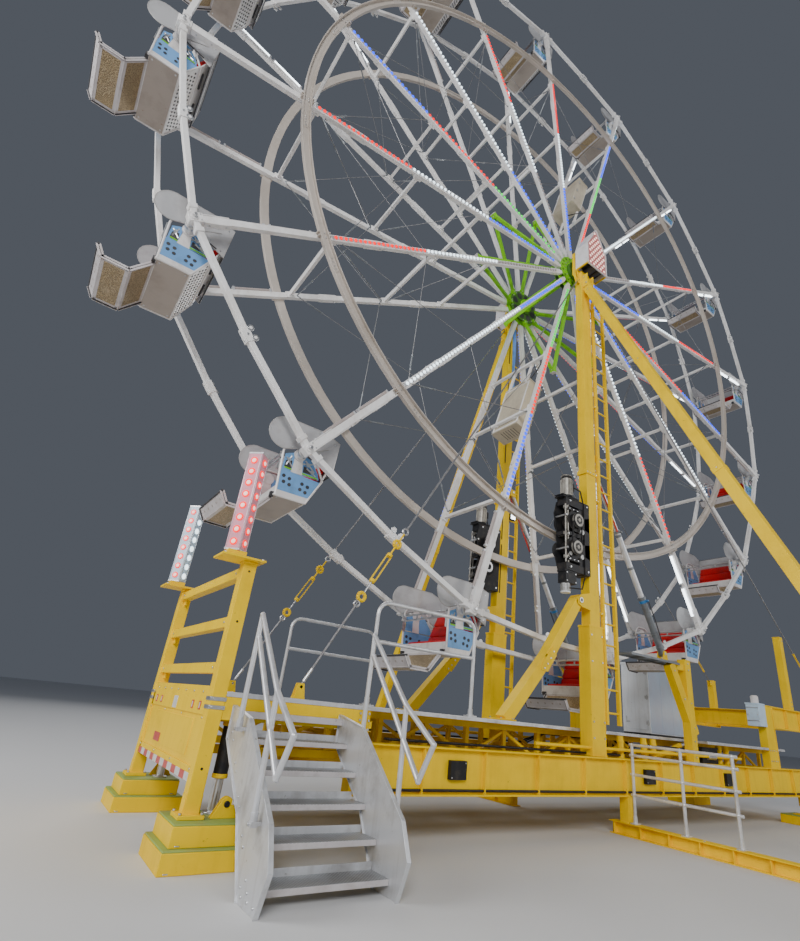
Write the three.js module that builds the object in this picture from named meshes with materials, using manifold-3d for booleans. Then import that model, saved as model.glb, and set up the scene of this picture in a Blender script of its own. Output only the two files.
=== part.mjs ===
// Portable sixteen-seat ferris wheel on its own trailer.
// Millimetres, +Z up. X runs along the trailer, Y along the axle. Riders face -X.
import * as THREE from 'three';
import { mergeVertices } from 'three/addons/utils/BufferGeometryUtils.js';
import Module from 'manifold-3d';

const wasm = await Module();
wasm.setup();

// Wheel
const SEATS = 16;
const HUB_HEIGHT = 9700;
const PIVOT_R = 7500;
const JOINT_R = 7415;
const FIRST_ANGLE = 96.4;
const SIDE_Y = 740;
const RIM_WIDE = 90;
const RIM_DEEP = 80;
const SPOKE_WIDE = 70;
const SPOKE_DEEP = 85;
const SPOKE_INNER_R = 300;
const KNUCKLE_INNER_R = 7400;
const KNUCKLE_OUTER_R = 7570;
const KNUCKLE_HALF = 75;
const RING_R = 5840;
const RING_DEEP = 130;
const RING_WIDE = 62;
const RING_SEGMENTS = 48;
const SPREADER_RADII = [5680, 3840, 2480];
const SPREADER_SIZE = 55;
const POWER_BOX_SPOKES = [1, 9];
const POWER_BOX_FROM_R = 2900;
const POWER_BOX_TO_R = 4000;
const POWER_BOX_Y = -100;
const POWER_BOX_WIDE = 640;
const POWER_BOX_ACROSS = 190;
const POWER_BOX_DEEP = 340;
const POWER_BOX_ARMS_Y = [-320, 120];
const POWER_BOX_ARM = 45;
const FLANGE_R = 430;
const AXLE_R = 90;
const AXLE_HALF = 1000;
const STAR_TIPS = 8;
const STAR_ANGLE = 189;
const STAR_R = 1930;
const STAR_BAR = 60;
const HUB_DISC_R = 400;
const HUB_DISC_IN_Y = 600;

// Seat pivots
const PIN_R = 24;
const PIN_SIDES = 8;
const PIN_END_Y = 560;
const BORE_R = 26.4;
const BOSS_R = 62;
const BOSS_OUT_Y = 645;
const BOSS_IN_Y = 550;

// Seat, measured from its pivot, forward is -X
const PANEL_Y = 530;
const PANEL_THICK = 25;
const TRAY_HALF = 430;

// Towers and base
const TOWER_IN_Y = 930;
const TOWER_OUT_Y = 1090;
const TOWER_HALF = 113;
const TOWER_SOCKET_TOP = 2600;
const TOWER_COLLAR = 5030;
const TOWER_TOP = 9450;
const LEG_Y = 1010;
const LEG_SIZE = 150;
const BEARING_TOP = 9950;
const BEARING_END_Y = 1000;
const LADDER_Y = 1095;
const LIFT_Y = 965;
const LADDER_LEFT = 180;
const LADDER_RIGHT = 470;
const LADDER_LOW = 1300;
const LADDER_TOP = 8800;
const RUNG_PITCH = 305;
const TYRE_X = -450;
const TYRE_R = 140;
const MARQUEE_IN_Y = 1010;
const MARQUEE_OUT_Y = 1320;
const BEAM_IN_Y = 1060;
const BEAM_OUT_Y = 1200;
const BEAM_LOW = 450;
const BEAM_TOP = 900;
const GAP = 0.3;
const POST = 120;
const PORTAL_X = -5150;
const FRAME_LEFT = PORTAL_X + POST / 2 + GAP;
const FRAME_RIGHT = 6400;
const DECK_TOP = 1220;
const DECK_THICK = 40;
const PORTAL_TOP = 2330;
const CHANNEL_END = -3800;
const CHANNEL_LOW = 1000;
const BRACE_SIZE = 150;
const BRACE_FOOT_Y = 4950;
const BRACE_FOOT_TOP = 90;
const SILL_X = 500;
const SILL_TOP = 150;
const PAD_TOP = 300;
const JACK_X = -4930;
const NECK_LOW = 1560;
const NECK_TOP = 1940;
const CRADLE_TOP = 3340;
const CABINET = { x0: 3900, step: 4680, x1: 5150, y0: 620, y1: 1250, yStep: 1040, top: 2610 };

// Moves the whole ride so that its bounding box is centred on the origin
const ORIGIN_SHIFT_X = 139;

const rad = (degrees) => THREE.MathUtils.degToRad(degrees);

function finish(name, color, roughness, metalness) {
  return new THREE.MeshStandardMaterial({ name, color, roughness, metalness });
}

const PAINT_WHITE = finish('wheel_white', 0xd9d3c6, 0.55, 0.2);
const PAINT_YELLOW = finish('base_yellow', 0xf2c200, 0.45, 0.2);
const PAINT_GREEN = finish('hub_green', 0x7bd321, 0.5, 0.1);
const STEEL_GREY = finish('steel_grey', 0x8d9196, 0.4, 0.8);
const STEEL_DARK = finish('steel_dark', 0x24262a, 0.5, 0.6);
const ALUMINIUM = finish('aluminium', 0xc4c7ca, 0.35, 0.9);
const CABINET_WHITE = finish('cabinet_white', 0xe6e8ea, 0.5, 0.1);
const SEAT_BLUE = finish('seat_blue', 0x5fa8d8, 0.5, 0.1);
const LIGHT_CLEAR = finish('light_clear', 0xf3c9d0, 0.3, 0.0);
const WIRE = finish('wire_rope', 0x9a9c9e, 0.4, 0.8);

// Solids

function solid(geometry) {
  const bare = geometry.clone();
  for (const key of Object.keys(bare.attributes)) {
    if (key !== 'position') bare.deleteAttribute(key);
  }
  const merged = mergeVertices(bare, 1e-3);
  const index = merged.index.array;
  return new wasm.Manifold(new wasm.Mesh({
    numProp: 3,
    vertProperties: new Float32Array(merged.attributes.position.array),
    triVerts: new Uint32Array(index),
  }));
}

function geometryOf(manifold) {
  const mesh = manifold.getMesh();
  const geometry = new THREE.BufferGeometry();
  geometry.setAttribute('position', new THREE.BufferAttribute(new Float32Array(mesh.vertProperties), 3));
  geometry.setIndex(Array.from(mesh.triVerts));
  return geometry;
}

function fuse(pieces) {
  return pieces.map(solid).reduce((whole, piece) => whole.add(piece));
}

function block(x0, x1, y0, y1, z0, z1) {
  const [lx, hx] = [Math.min(x0, x1), Math.max(x0, x1)];
  const [ly, hy] = [Math.min(y0, y1), Math.max(y0, y1)];
  const geometry = new THREE.BoxGeometry(hx - lx, hy - ly, z1 - z0);
  geometry.translate((lx + hx) / 2, (ly + hy) / 2, (z0 + z1) / 2);
  return geometry;
}

// A straight bar between two points. `wide` is measured along `side`, `deep` across it.
function bar(from, to, wide, deep, side = [0, 1, 0]) {
  const a = new THREE.Vector3(...from);
  const b = new THREE.Vector3(...to);
  const along = b.clone().sub(a).normalize();
  const across = new THREE.Vector3(...side);
  across.addScaledVector(along, -across.dot(along)).normalize();
  const third = new THREE.Vector3().crossVectors(along, across);
  const geometry = new THREE.BoxGeometry(a.distanceTo(b), wide, deep);
  geometry.applyMatrix4(new THREE.Matrix4().makeBasis(along, across, third));
  geometry.translate((a.x + b.x) / 2, (a.y + b.y) / 2, (a.z + b.z) / 2);
  return geometry;
}

function rod(from, to, radius, sides = 8, halfTurn = false) {
  const a = new THREE.Vector3(...from);
  const b = new THREE.Vector3(...to);
  const geometry = new THREE.CylinderGeometry(radius, radius, a.distanceTo(b), sides);
  if (halfTurn) geometry.rotateY(Math.PI / sides);
  const turn = new THREE.Quaternion().setFromUnitVectors(
    new THREE.Vector3(0, 1, 0), b.clone().sub(a).normalize());
  geometry.applyQuaternion(turn);
  geometry.translate((a.x + b.x) / 2, (a.y + b.y) / 2, (a.z + b.z) / 2);
  return geometry;
}

// A plate whose outline is drawn in X and Z, between two Y values.
function plate(outline, y0, y1) {
  const shape = new THREE.Shape(outline.map(([x, z]) => new THREE.Vector2(x, z)));
  const [ly, hy] = [Math.min(y0, y1), Math.max(y0, y1)];
  const geometry = new THREE.ExtrudeGeometry(shape, { depth: hy - ly, bevelEnabled: false });
  geometry.rotateX(Math.PI / 2);
  geometry.translate(0, hy, 0);
  return geometry;
}

const root = new THREE.Group();
const wheel = new THREE.Group();
wheel.position.set(0, 0, HUB_HEIGHT);
root.add(wheel);
root.position.x = ORIGIN_SHIFT_X;

function add(group, name, material, geometry) {
  const mesh = new THREE.Mesh(geometry, material);
  mesh.name = name;
  group.add(mesh);
  return mesh;
}

const SIDES = [['near', -1], ['far', 1]];

// Wheel

function spokeAngle(k) {
  return rad(FIRST_ANGLE - k * 360 / SEATS);
}

function polar(r, angle, y, across = 0) {
  return [r * Math.cos(angle) - across * Math.sin(angle), y,
    r * Math.sin(angle) + across * Math.cos(angle)];
}

// A box hung on the cross bars of two opposite spokes, on a pair of arms each.
function powerBoxes() {
  const pieces = [];
  for (const k of POWER_BOX_SPOKES) {
    const a = spokeAngle(k);
    pieces.push(bar(polar(POWER_BOX_FROM_R, a, POWER_BOX_Y, POWER_BOX_ACROSS),
      polar(POWER_BOX_TO_R, a, POWER_BOX_Y, POWER_BOX_ACROSS), POWER_BOX_WIDE, POWER_BOX_DEEP));
    for (const y of POWER_BOX_ARMS_Y) {
      pieces.push(bar(polar(SPREADER_RADII[2], a, y, 40), polar(POWER_BOX_FROM_R + 50, a, y, 40),
        POWER_BOX_ARM, POWER_BOX_ARM));
    }
  }
  return pieces;
}

function spokesOf(side) {
  const pieces = [rod([0, side * (SIDE_Y - 45), 0], [0, side * (SIDE_Y + 45), 0], FLANGE_R, 32)];
  for (let k = 0; k < SEATS; k += 1) {
    const a = spokeAngle(k);
    const y = side * SIDE_Y;
    pieces.push(bar(polar(SPOKE_INNER_R, a, y), polar(KNUCKLE_INNER_R - GAP, a, y), SPOKE_WIDE, SPOKE_DEEP));
    if (side < 0) {
      for (const r of SPREADER_RADII) {
        const end = SIDE_Y - SPOKE_WIDE / 2 - GAP;
        pieces.push(bar(polar(r, a, -SIDE_Y), polar(r, a, end), SPREADER_SIZE, SPREADER_SIZE,
          [Math.cos(a), 0, Math.sin(a)]));
      }
    }
  }
  if (side < 0) {
    pieces.push(...powerBoxes());
  }
  const axleHole = rod([0, -side * 2000, 0], [0, side * 2000, 0], AXLE_R + GAP, 24);
  return geometryOf(fuse(pieces).subtract(solid(axleHole)));
}

// The rim is a ring of straight tubes, two between each pair of seats.
function rimOutline(offset) {
  const points = [];
  for (let k = 0; k < SEATS; k += 1) {
    const a = spokeAngle(k);
    const half = rad(180 / SEATS);
    for (const [r, angle] of [[PIVOT_R, a], [JOINT_R, a - half]]) {
      points.push(new THREE.Vector2((r + offset) * Math.cos(angle), (r + offset) * Math.sin(angle)));
    }
  }
  return points;
}

function rimOf(side) {
  const y = side * SIDE_Y;
  const shape = new THREE.Shape(rimOutline(RIM_DEEP / 2));
  shape.holes.push(new THREE.Path(rimOutline(-RIM_DEEP / 2).reverse()));
  const ring = new THREE.ExtrudeGeometry(shape, { depth: RIM_WIDE, bevelEnabled: false });
  ring.rotateX(Math.PI / 2);
  ring.translate(0, y + RIM_WIDE / 2, 0);
  const pieces = [ring];
  for (let k = 0; k < SEATS; k += 1) {
    const a = spokeAngle(k);
    const middle = a - rad(180 / SEATS);
    const clamp = bar(polar(JOINT_R, middle, y, -90), polar(JOINT_R, middle, y, 90), RIM_WIDE + 24,
      RIM_DEEP + 40);
    const knuckle = bar(polar(KNUCKLE_INNER_R, a, y), polar(KNUCKLE_OUTER_R, a, y), RIM_WIDE + 16,
      2 * KNUCKLE_HALF);
    const pin = rod(polar(PIVOT_R, a, side * PIN_END_Y), polar(PIVOT_R, a, side * SIDE_Y), PIN_R, PIN_SIDES);
    pieces.push(clamp, knuckle, pin);
  }
  return geometryOf(fuse(pieces));
}

function driveRing(side) {
  const inner = SIDE_Y + SPOKE_WIDE / 2 + GAP;
  const low = RING_R - RING_DEEP / 2;
  const high = RING_R + RING_DEEP / 2;
  const profile = [[low, 0], [high, 0], [high, RING_WIDE], [low, RING_WIDE], [low, 0]];
  const ring = new THREE.LatheGeometry(profile.map(([r, h]) => new THREE.Vector2(r, h)), RING_SEGMENTS);
  if (side < 0) ring.rotateX(Math.PI);
  ring.translate(0, side * inner, 0);
  return ring;
}

// Axle with a disc at each end and bars that meet in pairs halfway between the two wheel sides
function axleSolid() {
  const pieces = [rod([0, -AXLE_HALF, 0], [0, AXLE_HALF, 0], AXLE_R, 24)];
  const discEnd = SIDE_Y - 45 - GAP;
  for (const side of [-1, 1]) {
    pieces.push(rod([0, side * HUB_DISC_IN_Y, 0], [0, side * discEnd, 0], HUB_DISC_R, 24));
    for (let i = 0; i < STAR_TIPS; i += 1) {
      const a = rad(STAR_ANGLE - i * 360 / STAR_TIPS);
      const start = polar(HUB_DISC_R - 60, a, side * (discEnd - 50));
      pieces.push(bar(start, polar(STAR_R, a, 0), STAR_BAR, STAR_BAR, [-Math.sin(a), 0, Math.cos(a)]));
    }
  }
  for (let i = 0; i < STAR_TIPS; i += 1) {
    const a = rad(STAR_ANGLE - i * 360 / STAR_TIPS);
    pieces.push(bar(polar(STAR_R - 90, a, 0), polar(STAR_R + 30, a, 0), STAR_BAR + 40, STAR_BAR + 40));
  }
  return geometryOf(fuse(pieces));
}

for (const [word, side] of SIDES) {
  add(wheel, `${word}_spokes`, PAINT_WHITE, spokesOf(side));
  add(wheel, `${word}_rim`, PAINT_WHITE, rimOf(side));
  add(wheel, `${word}_drive_ring`, PAINT_WHITE, driveRing(side));
}
add(wheel, 'axle_and_star', PAINT_GREEN, axleSolid());

// Seats

// One side: the tub panel below and the clear head shield above it
const SIDE_OUTLINE = [
  [-190, -560], [172, -560], [330, -230], [255, -65], [430, -130], [462, 320], [250, 400], [-200, 412],
  [-425, 260], [-400, 80], [-240, 10], [-205, -90],
];
const TUB_OUTLINE = [
  [-190, -560], [172, -560], [335, -228], [440, 70], [385, 88], [190, -405], [-150, -405], [-190, -500],
];
const TRAY_OUTLINE = [
  [-185, -560], [-380, -803], [-660, -798], [-740, -650], [-716, -638], [-645, -772], [-398, -777],
  [-200, -530],
];

function seatSolid() {
  const pieces = [];
  const inner = PANEL_Y - PANEL_THICK;
  for (const side of [-1, 1]) {
    pieces.push(plate(SIDE_OUTLINE, side * inner, side * PANEL_Y));
    pieces.push(rod([0, side * (PANEL_Y - 5), 0], [0, side * BOSS_OUT_Y, 0], BOSS_R, PIN_SIDES));
  }
  pieces.push(plate(TUB_OUTLINE, -inner - 5, inner + 5));
  pieces.push(plate([[430, -130], [462, 320], [446, 322], [398, -105]], -inner - 5, inner + 5));
  pieces.push(plate(TRAY_OUTLINE, -TRAY_HALF, TRAY_HALF));
  pieces.push(block(-226, -196, -inner - 5, inner + 5, -118, -88));
  let seat = fuse(pieces);
  for (const side of [-1, 1]) {
    const bore = rod([0, side * BOSS_IN_Y, 0], [0, side * (BOSS_OUT_Y + 20), 0], BORE_R, PIN_SIDES, true);
    seat = seat.subtract(solid(bore));
  }
  return geometryOf(seat);
}

const seatGeometry = seatSolid();
for (let k = 0; k < SEATS; k += 1) {
  const seat = add(wheel, `seat_${String(k + 1).padStart(2, '0')}`, SEAT_BLUE, seatGeometry.clone());
  seat.position.set(...polar(PIVOT_R, spokeAngle(k), 0));
}

// Trailer frame, decks and end frame

function trailerFrame() {
  const pieces = [];
  const stringerTop = DECK_TOP - DECK_THICK - GAP;
  const edge = (side, x0, x1, z0, z1) => block(x0, x1, side * BEAM_IN_Y, side * BEAM_OUT_Y, z0, z1);
  for (const side of [-1, 1]) {
    pieces.push(edge(side, CHANNEL_END, FRAME_RIGHT, BEAM_LOW, BEAM_TOP));
    pieces.push(edge(side, FRAME_LEFT, CHANNEL_END + 20, CHANNEL_LOW, stringerTop));
    pieces.push(edge(side, CHANNEL_END, CHANNEL_END + 140, BEAM_TOP - 20, stringerTop));
    pieces.push(block(FRAME_LEFT + 20, 6300, side * 500, side * 640, BEAM_TOP - 200, stringerTop));
    pieces.push(block(JACK_X - 110, JACK_X + 110, side * 890, side * (BEAM_IN_Y + 20), 980 + GAP,
      stringerTop));
    pieces.push(edge(side, 4700, 5060, BEAM_TOP - 20, NECK_TOP));
    pieces.push(edge(side, 5040, 7500, NECK_LOW, NECK_TOP));
    pieces.push(edge(side, 7340, 7480, NECK_TOP - 20, 2620));
    pieces.push(edge(side, 5880, 6010, NECK_TOP - 20, CRADLE_TOP));
  }
  const reach = BEAM_IN_Y + 20;
  pieces.push(block(FRAME_LEFT, FRAME_LEFT + 110, -reach, reach, CHANNEL_LOW, stringerTop));
  for (const x of [-3400, -1700, 0, 1700, 3400, FRAME_RIGHT - 90]) {
    pieces.push(block(x - 90, x + 90, -reach, reach, BEAM_LOW + 60, BEAM_TOP - 40));
  }
  for (const x of [5900, 7400]) {
    pieces.push(block(x - 90, x + 90, -reach, reach, NECK_LOW + 40, NECK_TOP - 40));
  }
  return geometryOf(fuse(pieces));
}
add(root, 'trailer_frame', PAINT_YELLOW, trailerFrame());

const deckLow = DECK_TOP - DECK_THICK;
add(root, 'boarding_deck', ALUMINIUM, block(FRAME_LEFT, -1500, -BEAM_OUT_Y, BEAM_OUT_Y, deckLow, DECK_TOP));
add(root, 'centre_deck', ALUMINIUM, geometryOf(fuse([
  block(-1500 + GAP, 2610, -870, 870, deckLow, DECK_TOP),
  block(2600, 5690, -BEAM_OUT_Y, BEAM_OUT_Y, deckLow, DECK_TOP),
]).subtract(solid(block(4690, 6000, -2000, -BEAM_IN_Y + 10, 1000, 2000)))
  .subtract(solid(block(4690, 6000, BEAM_IN_Y - 10, 2000, 1000, 2000)))));

function portalFrame() {
  const pieces = [];
  for (const side of [-1, 1]) {
    const inner = BEAM_OUT_Y - POST;
    const low = PAD_TOP + GAP;
    pieces.push(block(PORTAL_X - POST / 2, PORTAL_X + POST / 2, side * inner, side * BEAM_OUT_Y, low,
      PORTAL_TOP));
    pieces.push(block(PORTAL_X - 110, PORTAL_X + 90, side * (inner - 40), side * (BEAM_OUT_Y + 60), low,
      PAD_TOP + 30));
  }
  for (const z of [1400, 1790, PORTAL_TOP - 90]) {
    pieces.push(block(PORTAL_X - 45, PORTAL_X + 45, -BEAM_OUT_Y + 20, BEAM_OUT_Y - 20, z - 45, z + 45));
  }
  return geometryOf(fuse(pieces));
}
add(root, 'portal_frame', PAINT_YELLOW, portalFrame());

// The end panel stands between the two posts
const panelEdge = BEAM_OUT_Y - POST - GAP;
add(root, 'end_panel', PAINT_YELLOW, geometryOf(fuse([
  block(PORTAL_X - 50, FRAME_LEFT - GAP, -panelEdge, panelEdge, 1150, 1250),
  block(PORTAL_X - 50, PORTAL_X + 10, -panelEdge, panelEdge, 530, 1160),
])));

// Each lamp pillar is a square box set cornerwise on a yellow foot
for (const [word, side] of SIDES) {
  const y = side * (BEAM_OUT_Y - POST / 2);
  const low = PORTAL_TOP + GAP;
  const x = PORTAL_X - 150;
  add(root, `${word}_light_tower`, LIGHT_CLEAR, geometryOf(fuse([
    block(x - 140, x + 260, y - 150, y + 150, low, low + 20),
    block(x - 85, x + 85, y - 85, y + 85, low + 18, low + 70),
    rod([x, y, low + 68], [x, y, low + 1070], 106, 4),
  ])));
}

// Pads and jacks under both ends of the trailer
for (const [word, side] of SIDES) {
  add(root, `${word}_boarding_pad`, PAINT_YELLOW, geometryOf(fuse([
    block(PORTAL_X - 210, PORTAL_X + 470, side * 800, side * 1450, 0, PAD_TOP / 2),
    block(PORTAL_X - 160, PORTAL_X + 410, side * 850, side * 1390, PAD_TOP / 2 - 10, PAD_TOP),
    rod([JACK_X, side * 1000, PAD_TOP - 10], [JACK_X, side * 1000, 570], 40, 12),
    rod([JACK_X, side * 1000, 560], [JACK_X, side * 1000, 980], 59, 12),
  ])));
  add(root, `${word}_rear_jack`, PAINT_YELLOW, geometryOf(fuse([
    block(5600, 6250, side * 830, side * 1430, 0, PAD_TOP / 2),
    block(5780, 6070, side * 985, side * 1275, PAD_TOP / 2 - 10, PAD_TOP / 2 + 30),
    rod([5925, side * 1130, PAD_TOP / 2], [5925, side * 1130, BEAM_LOW - GAP], 75, 12),
  ])));
}

// Boarding stair

const STAIR = {
  left: -5000, right: -3990, top: -BEAM_OUT_Y - GAP, steps: 5, rise: 195, run: 220, nose: 890,
};
const STAIR_CHEEK = [
  [STAIR.top, 1120], [STAIR.top, 870], [-1390, 730], [-1790, 440], [-2100, 0], [-2420, 0], [-2520, 250],
  [-2400, 480], [-1650, 1045],
];
// Tube handrail beside the cheek, as lines between points in Y and Z
const STAIR_RAIL = [
  [[-1545, 1840], [-2205, 1250]], [[-2205, 1250], [-2620, 1000]], [[-1560, 1010], [-1545, 1840]],
  [[-2225, 500], [-2205, 1250]], [[-1580, 1650], [-2465, 740]], [[-2465, 740], [-2620, 1000]],
];

// A plate whose outline is drawn in Y and Z, between two X values.
function cheek(outline, x0, x1) {
  const shape = new THREE.Shape(outline.map(([y, z]) => new THREE.Vector2(y, z)));
  const geometry = new THREE.ExtrudeGeometry(shape, { depth: x1 - x0, bevelEnabled: false });
  geometry.applyMatrix4(new THREE.Matrix4().makeBasis(
    new THREE.Vector3(0, 1, 0), new THREE.Vector3(0, 0, 1), new THREE.Vector3(1, 0, 0)));
  geometry.translate(x0, 0, 0);
  return geometry;
}

function stairPieces() {
  const { left, right, top, steps, rise, run, nose } = STAIR;
  const pieces = [
    cheek(STAIR_CHEEK, left - 20, left + 20),
    cheek(STAIR_CHEEK, right - 20, right + 20),
    block(left, right, -1265, top, 1045, 1085),
  ];
  for (let i = 0; i < steps; i += 1) {
    const y = top - run * (i + 1);
    const z = nose - rise * i;
    pieces.push(block(left, right, y, y + 250, z - 40, z));
    pieces.push(block(left, right, y + 244, y + 256, z - 40, z + 50));
  }
  return pieces;
}

function stairRails() {
  const pieces = [];
  for (const [x, edge] of [[STAIR.left - 52, STAIR.left], [STAIR.right + 52, STAIR.right]]) {
    for (const [[y0, z0], [y1, z1]] of STAIR_RAIL) {
      pieces.push(rod([x, y0, z0], [x, y1, z1], 21, 6));
    }
    for (const [y, z] of [[-1560, 990], [-2225, 480]]) {
      pieces.push(block(x - 24, x + 24, y - 34, y + 34, z - 45, z + 40));
      pieces.push(block(x, edge, y - 28, y + 28, z - 40, z - 10));
    }
    for (const [y, z] of [[-1545, 1840], [-2205, 1250], [-2620, 1000], [-2465, 740], [-1580, 1650]]) {
      pieces.push(block(x - 22, x + 22, y - 22, y + 22, z - 22, z + 22));
    }
  }
  return pieces;
}
add(root, 'boarding_stair', ALUMINIUM, geometryOf(fuse([...stairPieces(), ...stairRails()])));

// Hoop rails along both edges of the boarding deck
for (const [word, side] of SIDES) {
  const y = side * 1150;
  const [x0, x1] = [-3700, -2350];
  const low = DECK_TOP + GAP;
  const pieces = [rod([x0, y, 1840], [x1, y, 1840], 21, 6)];
  const hoop = [[x0, y, low + 10], [x0, y, 2120], [x0 + 130, y, 2250], [x1 - 130, y, 2250], [x1, y, 2120],
    [x1, y, low + 10]];
  hoop.slice(1).forEach((p, i) => pieces.push(rod(hoop[i], p, 21, 6)));
  for (const x of [x0, x1]) pieces.push(block(x - 60, x + 60, y - 45, y + 45, low, low + 14));
  add(root, `${word}_deck_rail`, ALUMINIUM, geometryOf(fuse(pieces)));
}

// Towers

function towerSolid(side) {
  const inner = side * TOWER_IN_Y;
  const outer = side * TOWER_OUT_Y;
  const low = BEAM_TOP + GAP;
  const legY = side * LEG_Y;
  const pieces = [
    block(-TOWER_HALF, TOWER_HALF, inner, outer, low, TOWER_TOP),
    block(-170, 150, inner - side * 25, outer + side * 25, low, TOWER_SOCKET_TOP),
    block(-TOWER_HALF - 27, TOWER_HALF + 27, inner - side * 15, outer + side * 15, TOWER_COLLAR,
      TOWER_COLLAR + 60),
    block(-200, 200, inner, side * BEARING_END_Y, TOWER_TOP - 60, BEARING_TOP),
    block(-400, -TOWER_HALF + 10, legY - 55, legY + 55, 2850, 3010),
    bar([-340, legY, 2900], [-1000, legY, 2000], LEG_SIZE, LEG_SIZE),
    bar([-970, legY, 2040], [-1720, legY, 1210], LEG_SIZE, LEG_SIZE),
  ];
  const bore = rod([0, -2000, HUB_HEIGHT], [0, 2000, HUB_HEIGHT], (AXLE_R + 0.4) / Math.cos(Math.PI / 24),
    24, true);
  const below = block(-3000, -900, side * 500, side * 1500, 600, DECK_TOP + GAP);
  return geometryOf(fuse(pieces).subtract(solid(bore)).subtract(solid(below)));
}

function ladderSolid(side) {
  const y = side * LADDER_Y;
  const pieces = [];
  for (const x of [LADDER_LEFT, LADDER_RIGHT]) {
    pieces.push(block(x - 18, x + 18, y - 30, y + 30, LADDER_LOW, LADDER_TOP));
  }
  for (let z = LADDER_LOW + 150; z < LADDER_TOP - 60; z += RUNG_PITCH) {
    pieces.push(block(LADDER_LEFT, LADDER_RIGHT, y - 14, y + 14, z - 14, z + 14));
  }
  for (const z of [2800, 4600, 6400, LADDER_TOP - 200]) {
    pieces.push(block(TOWER_HALF + GAP, LADDER_LEFT, y - 20, y + 20, z - 20, z + 20));
  }
  return geometryOf(fuse(pieces));
}

function driveUnit(side) {
  const right = -TOWER_HALF - GAP;
  const away = Math.hypot(TYRE_X, Math.sqrt(RING_R ** 2 - TYRE_X ** 2));
  const a = Math.atan2(-Math.sqrt(away ** 2 - TYRE_X ** 2), TYRE_X);
  const ringIn = (RING_R - RING_DEEP / 2) * Math.cos(Math.PI / RING_SEGMENTS);
  const ringOut = RING_R + RING_DEEP / 2;
  const centres = [ringIn - 6 - TYRE_R, ringOut + 6 + TYRE_R];
  const pieces = [
    block(-720, right, side * 900, side * 960, 3300, 4450),
    block(-720, right, side * 1060, side * 1120, 3300, 4450),
    block(-720, -640, side * 900, side * 1120, 3300, 4450),
    block(-260, right, side * 900, side * 1120, 3300, 4450),
    block(-700, right, side * 920, side * 1100, 4400, 4500),
    rod([-520, side * 1010, 4490], [-520, side * 1010, 4860], 95, 10),
    block(-640, -400, side * 930, side * 1090, 3120, 3310),
    rod([-560, side * 1010, 2985], [-560, side * 1010, 3130], 75, 10),
  ];
  for (const r of centres) {
    const z = HUB_HEIGHT + r * Math.sin(a);
    const x = r * Math.cos(a);
    pieces.push(rod([x, side * (SIDE_Y + 42), z], [x, side * (SIDE_Y + 104), z], TYRE_R, 12));
    pieces.push(rod([x, side * (SIDE_Y + 90), z], [x, side * 1190, z], 35, 6));
    pieces.push(rod([x, side * 1130, z], [x, side * 1180, z], 110, 10));
  }
  return geometryOf(fuse(pieces));
}

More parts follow.
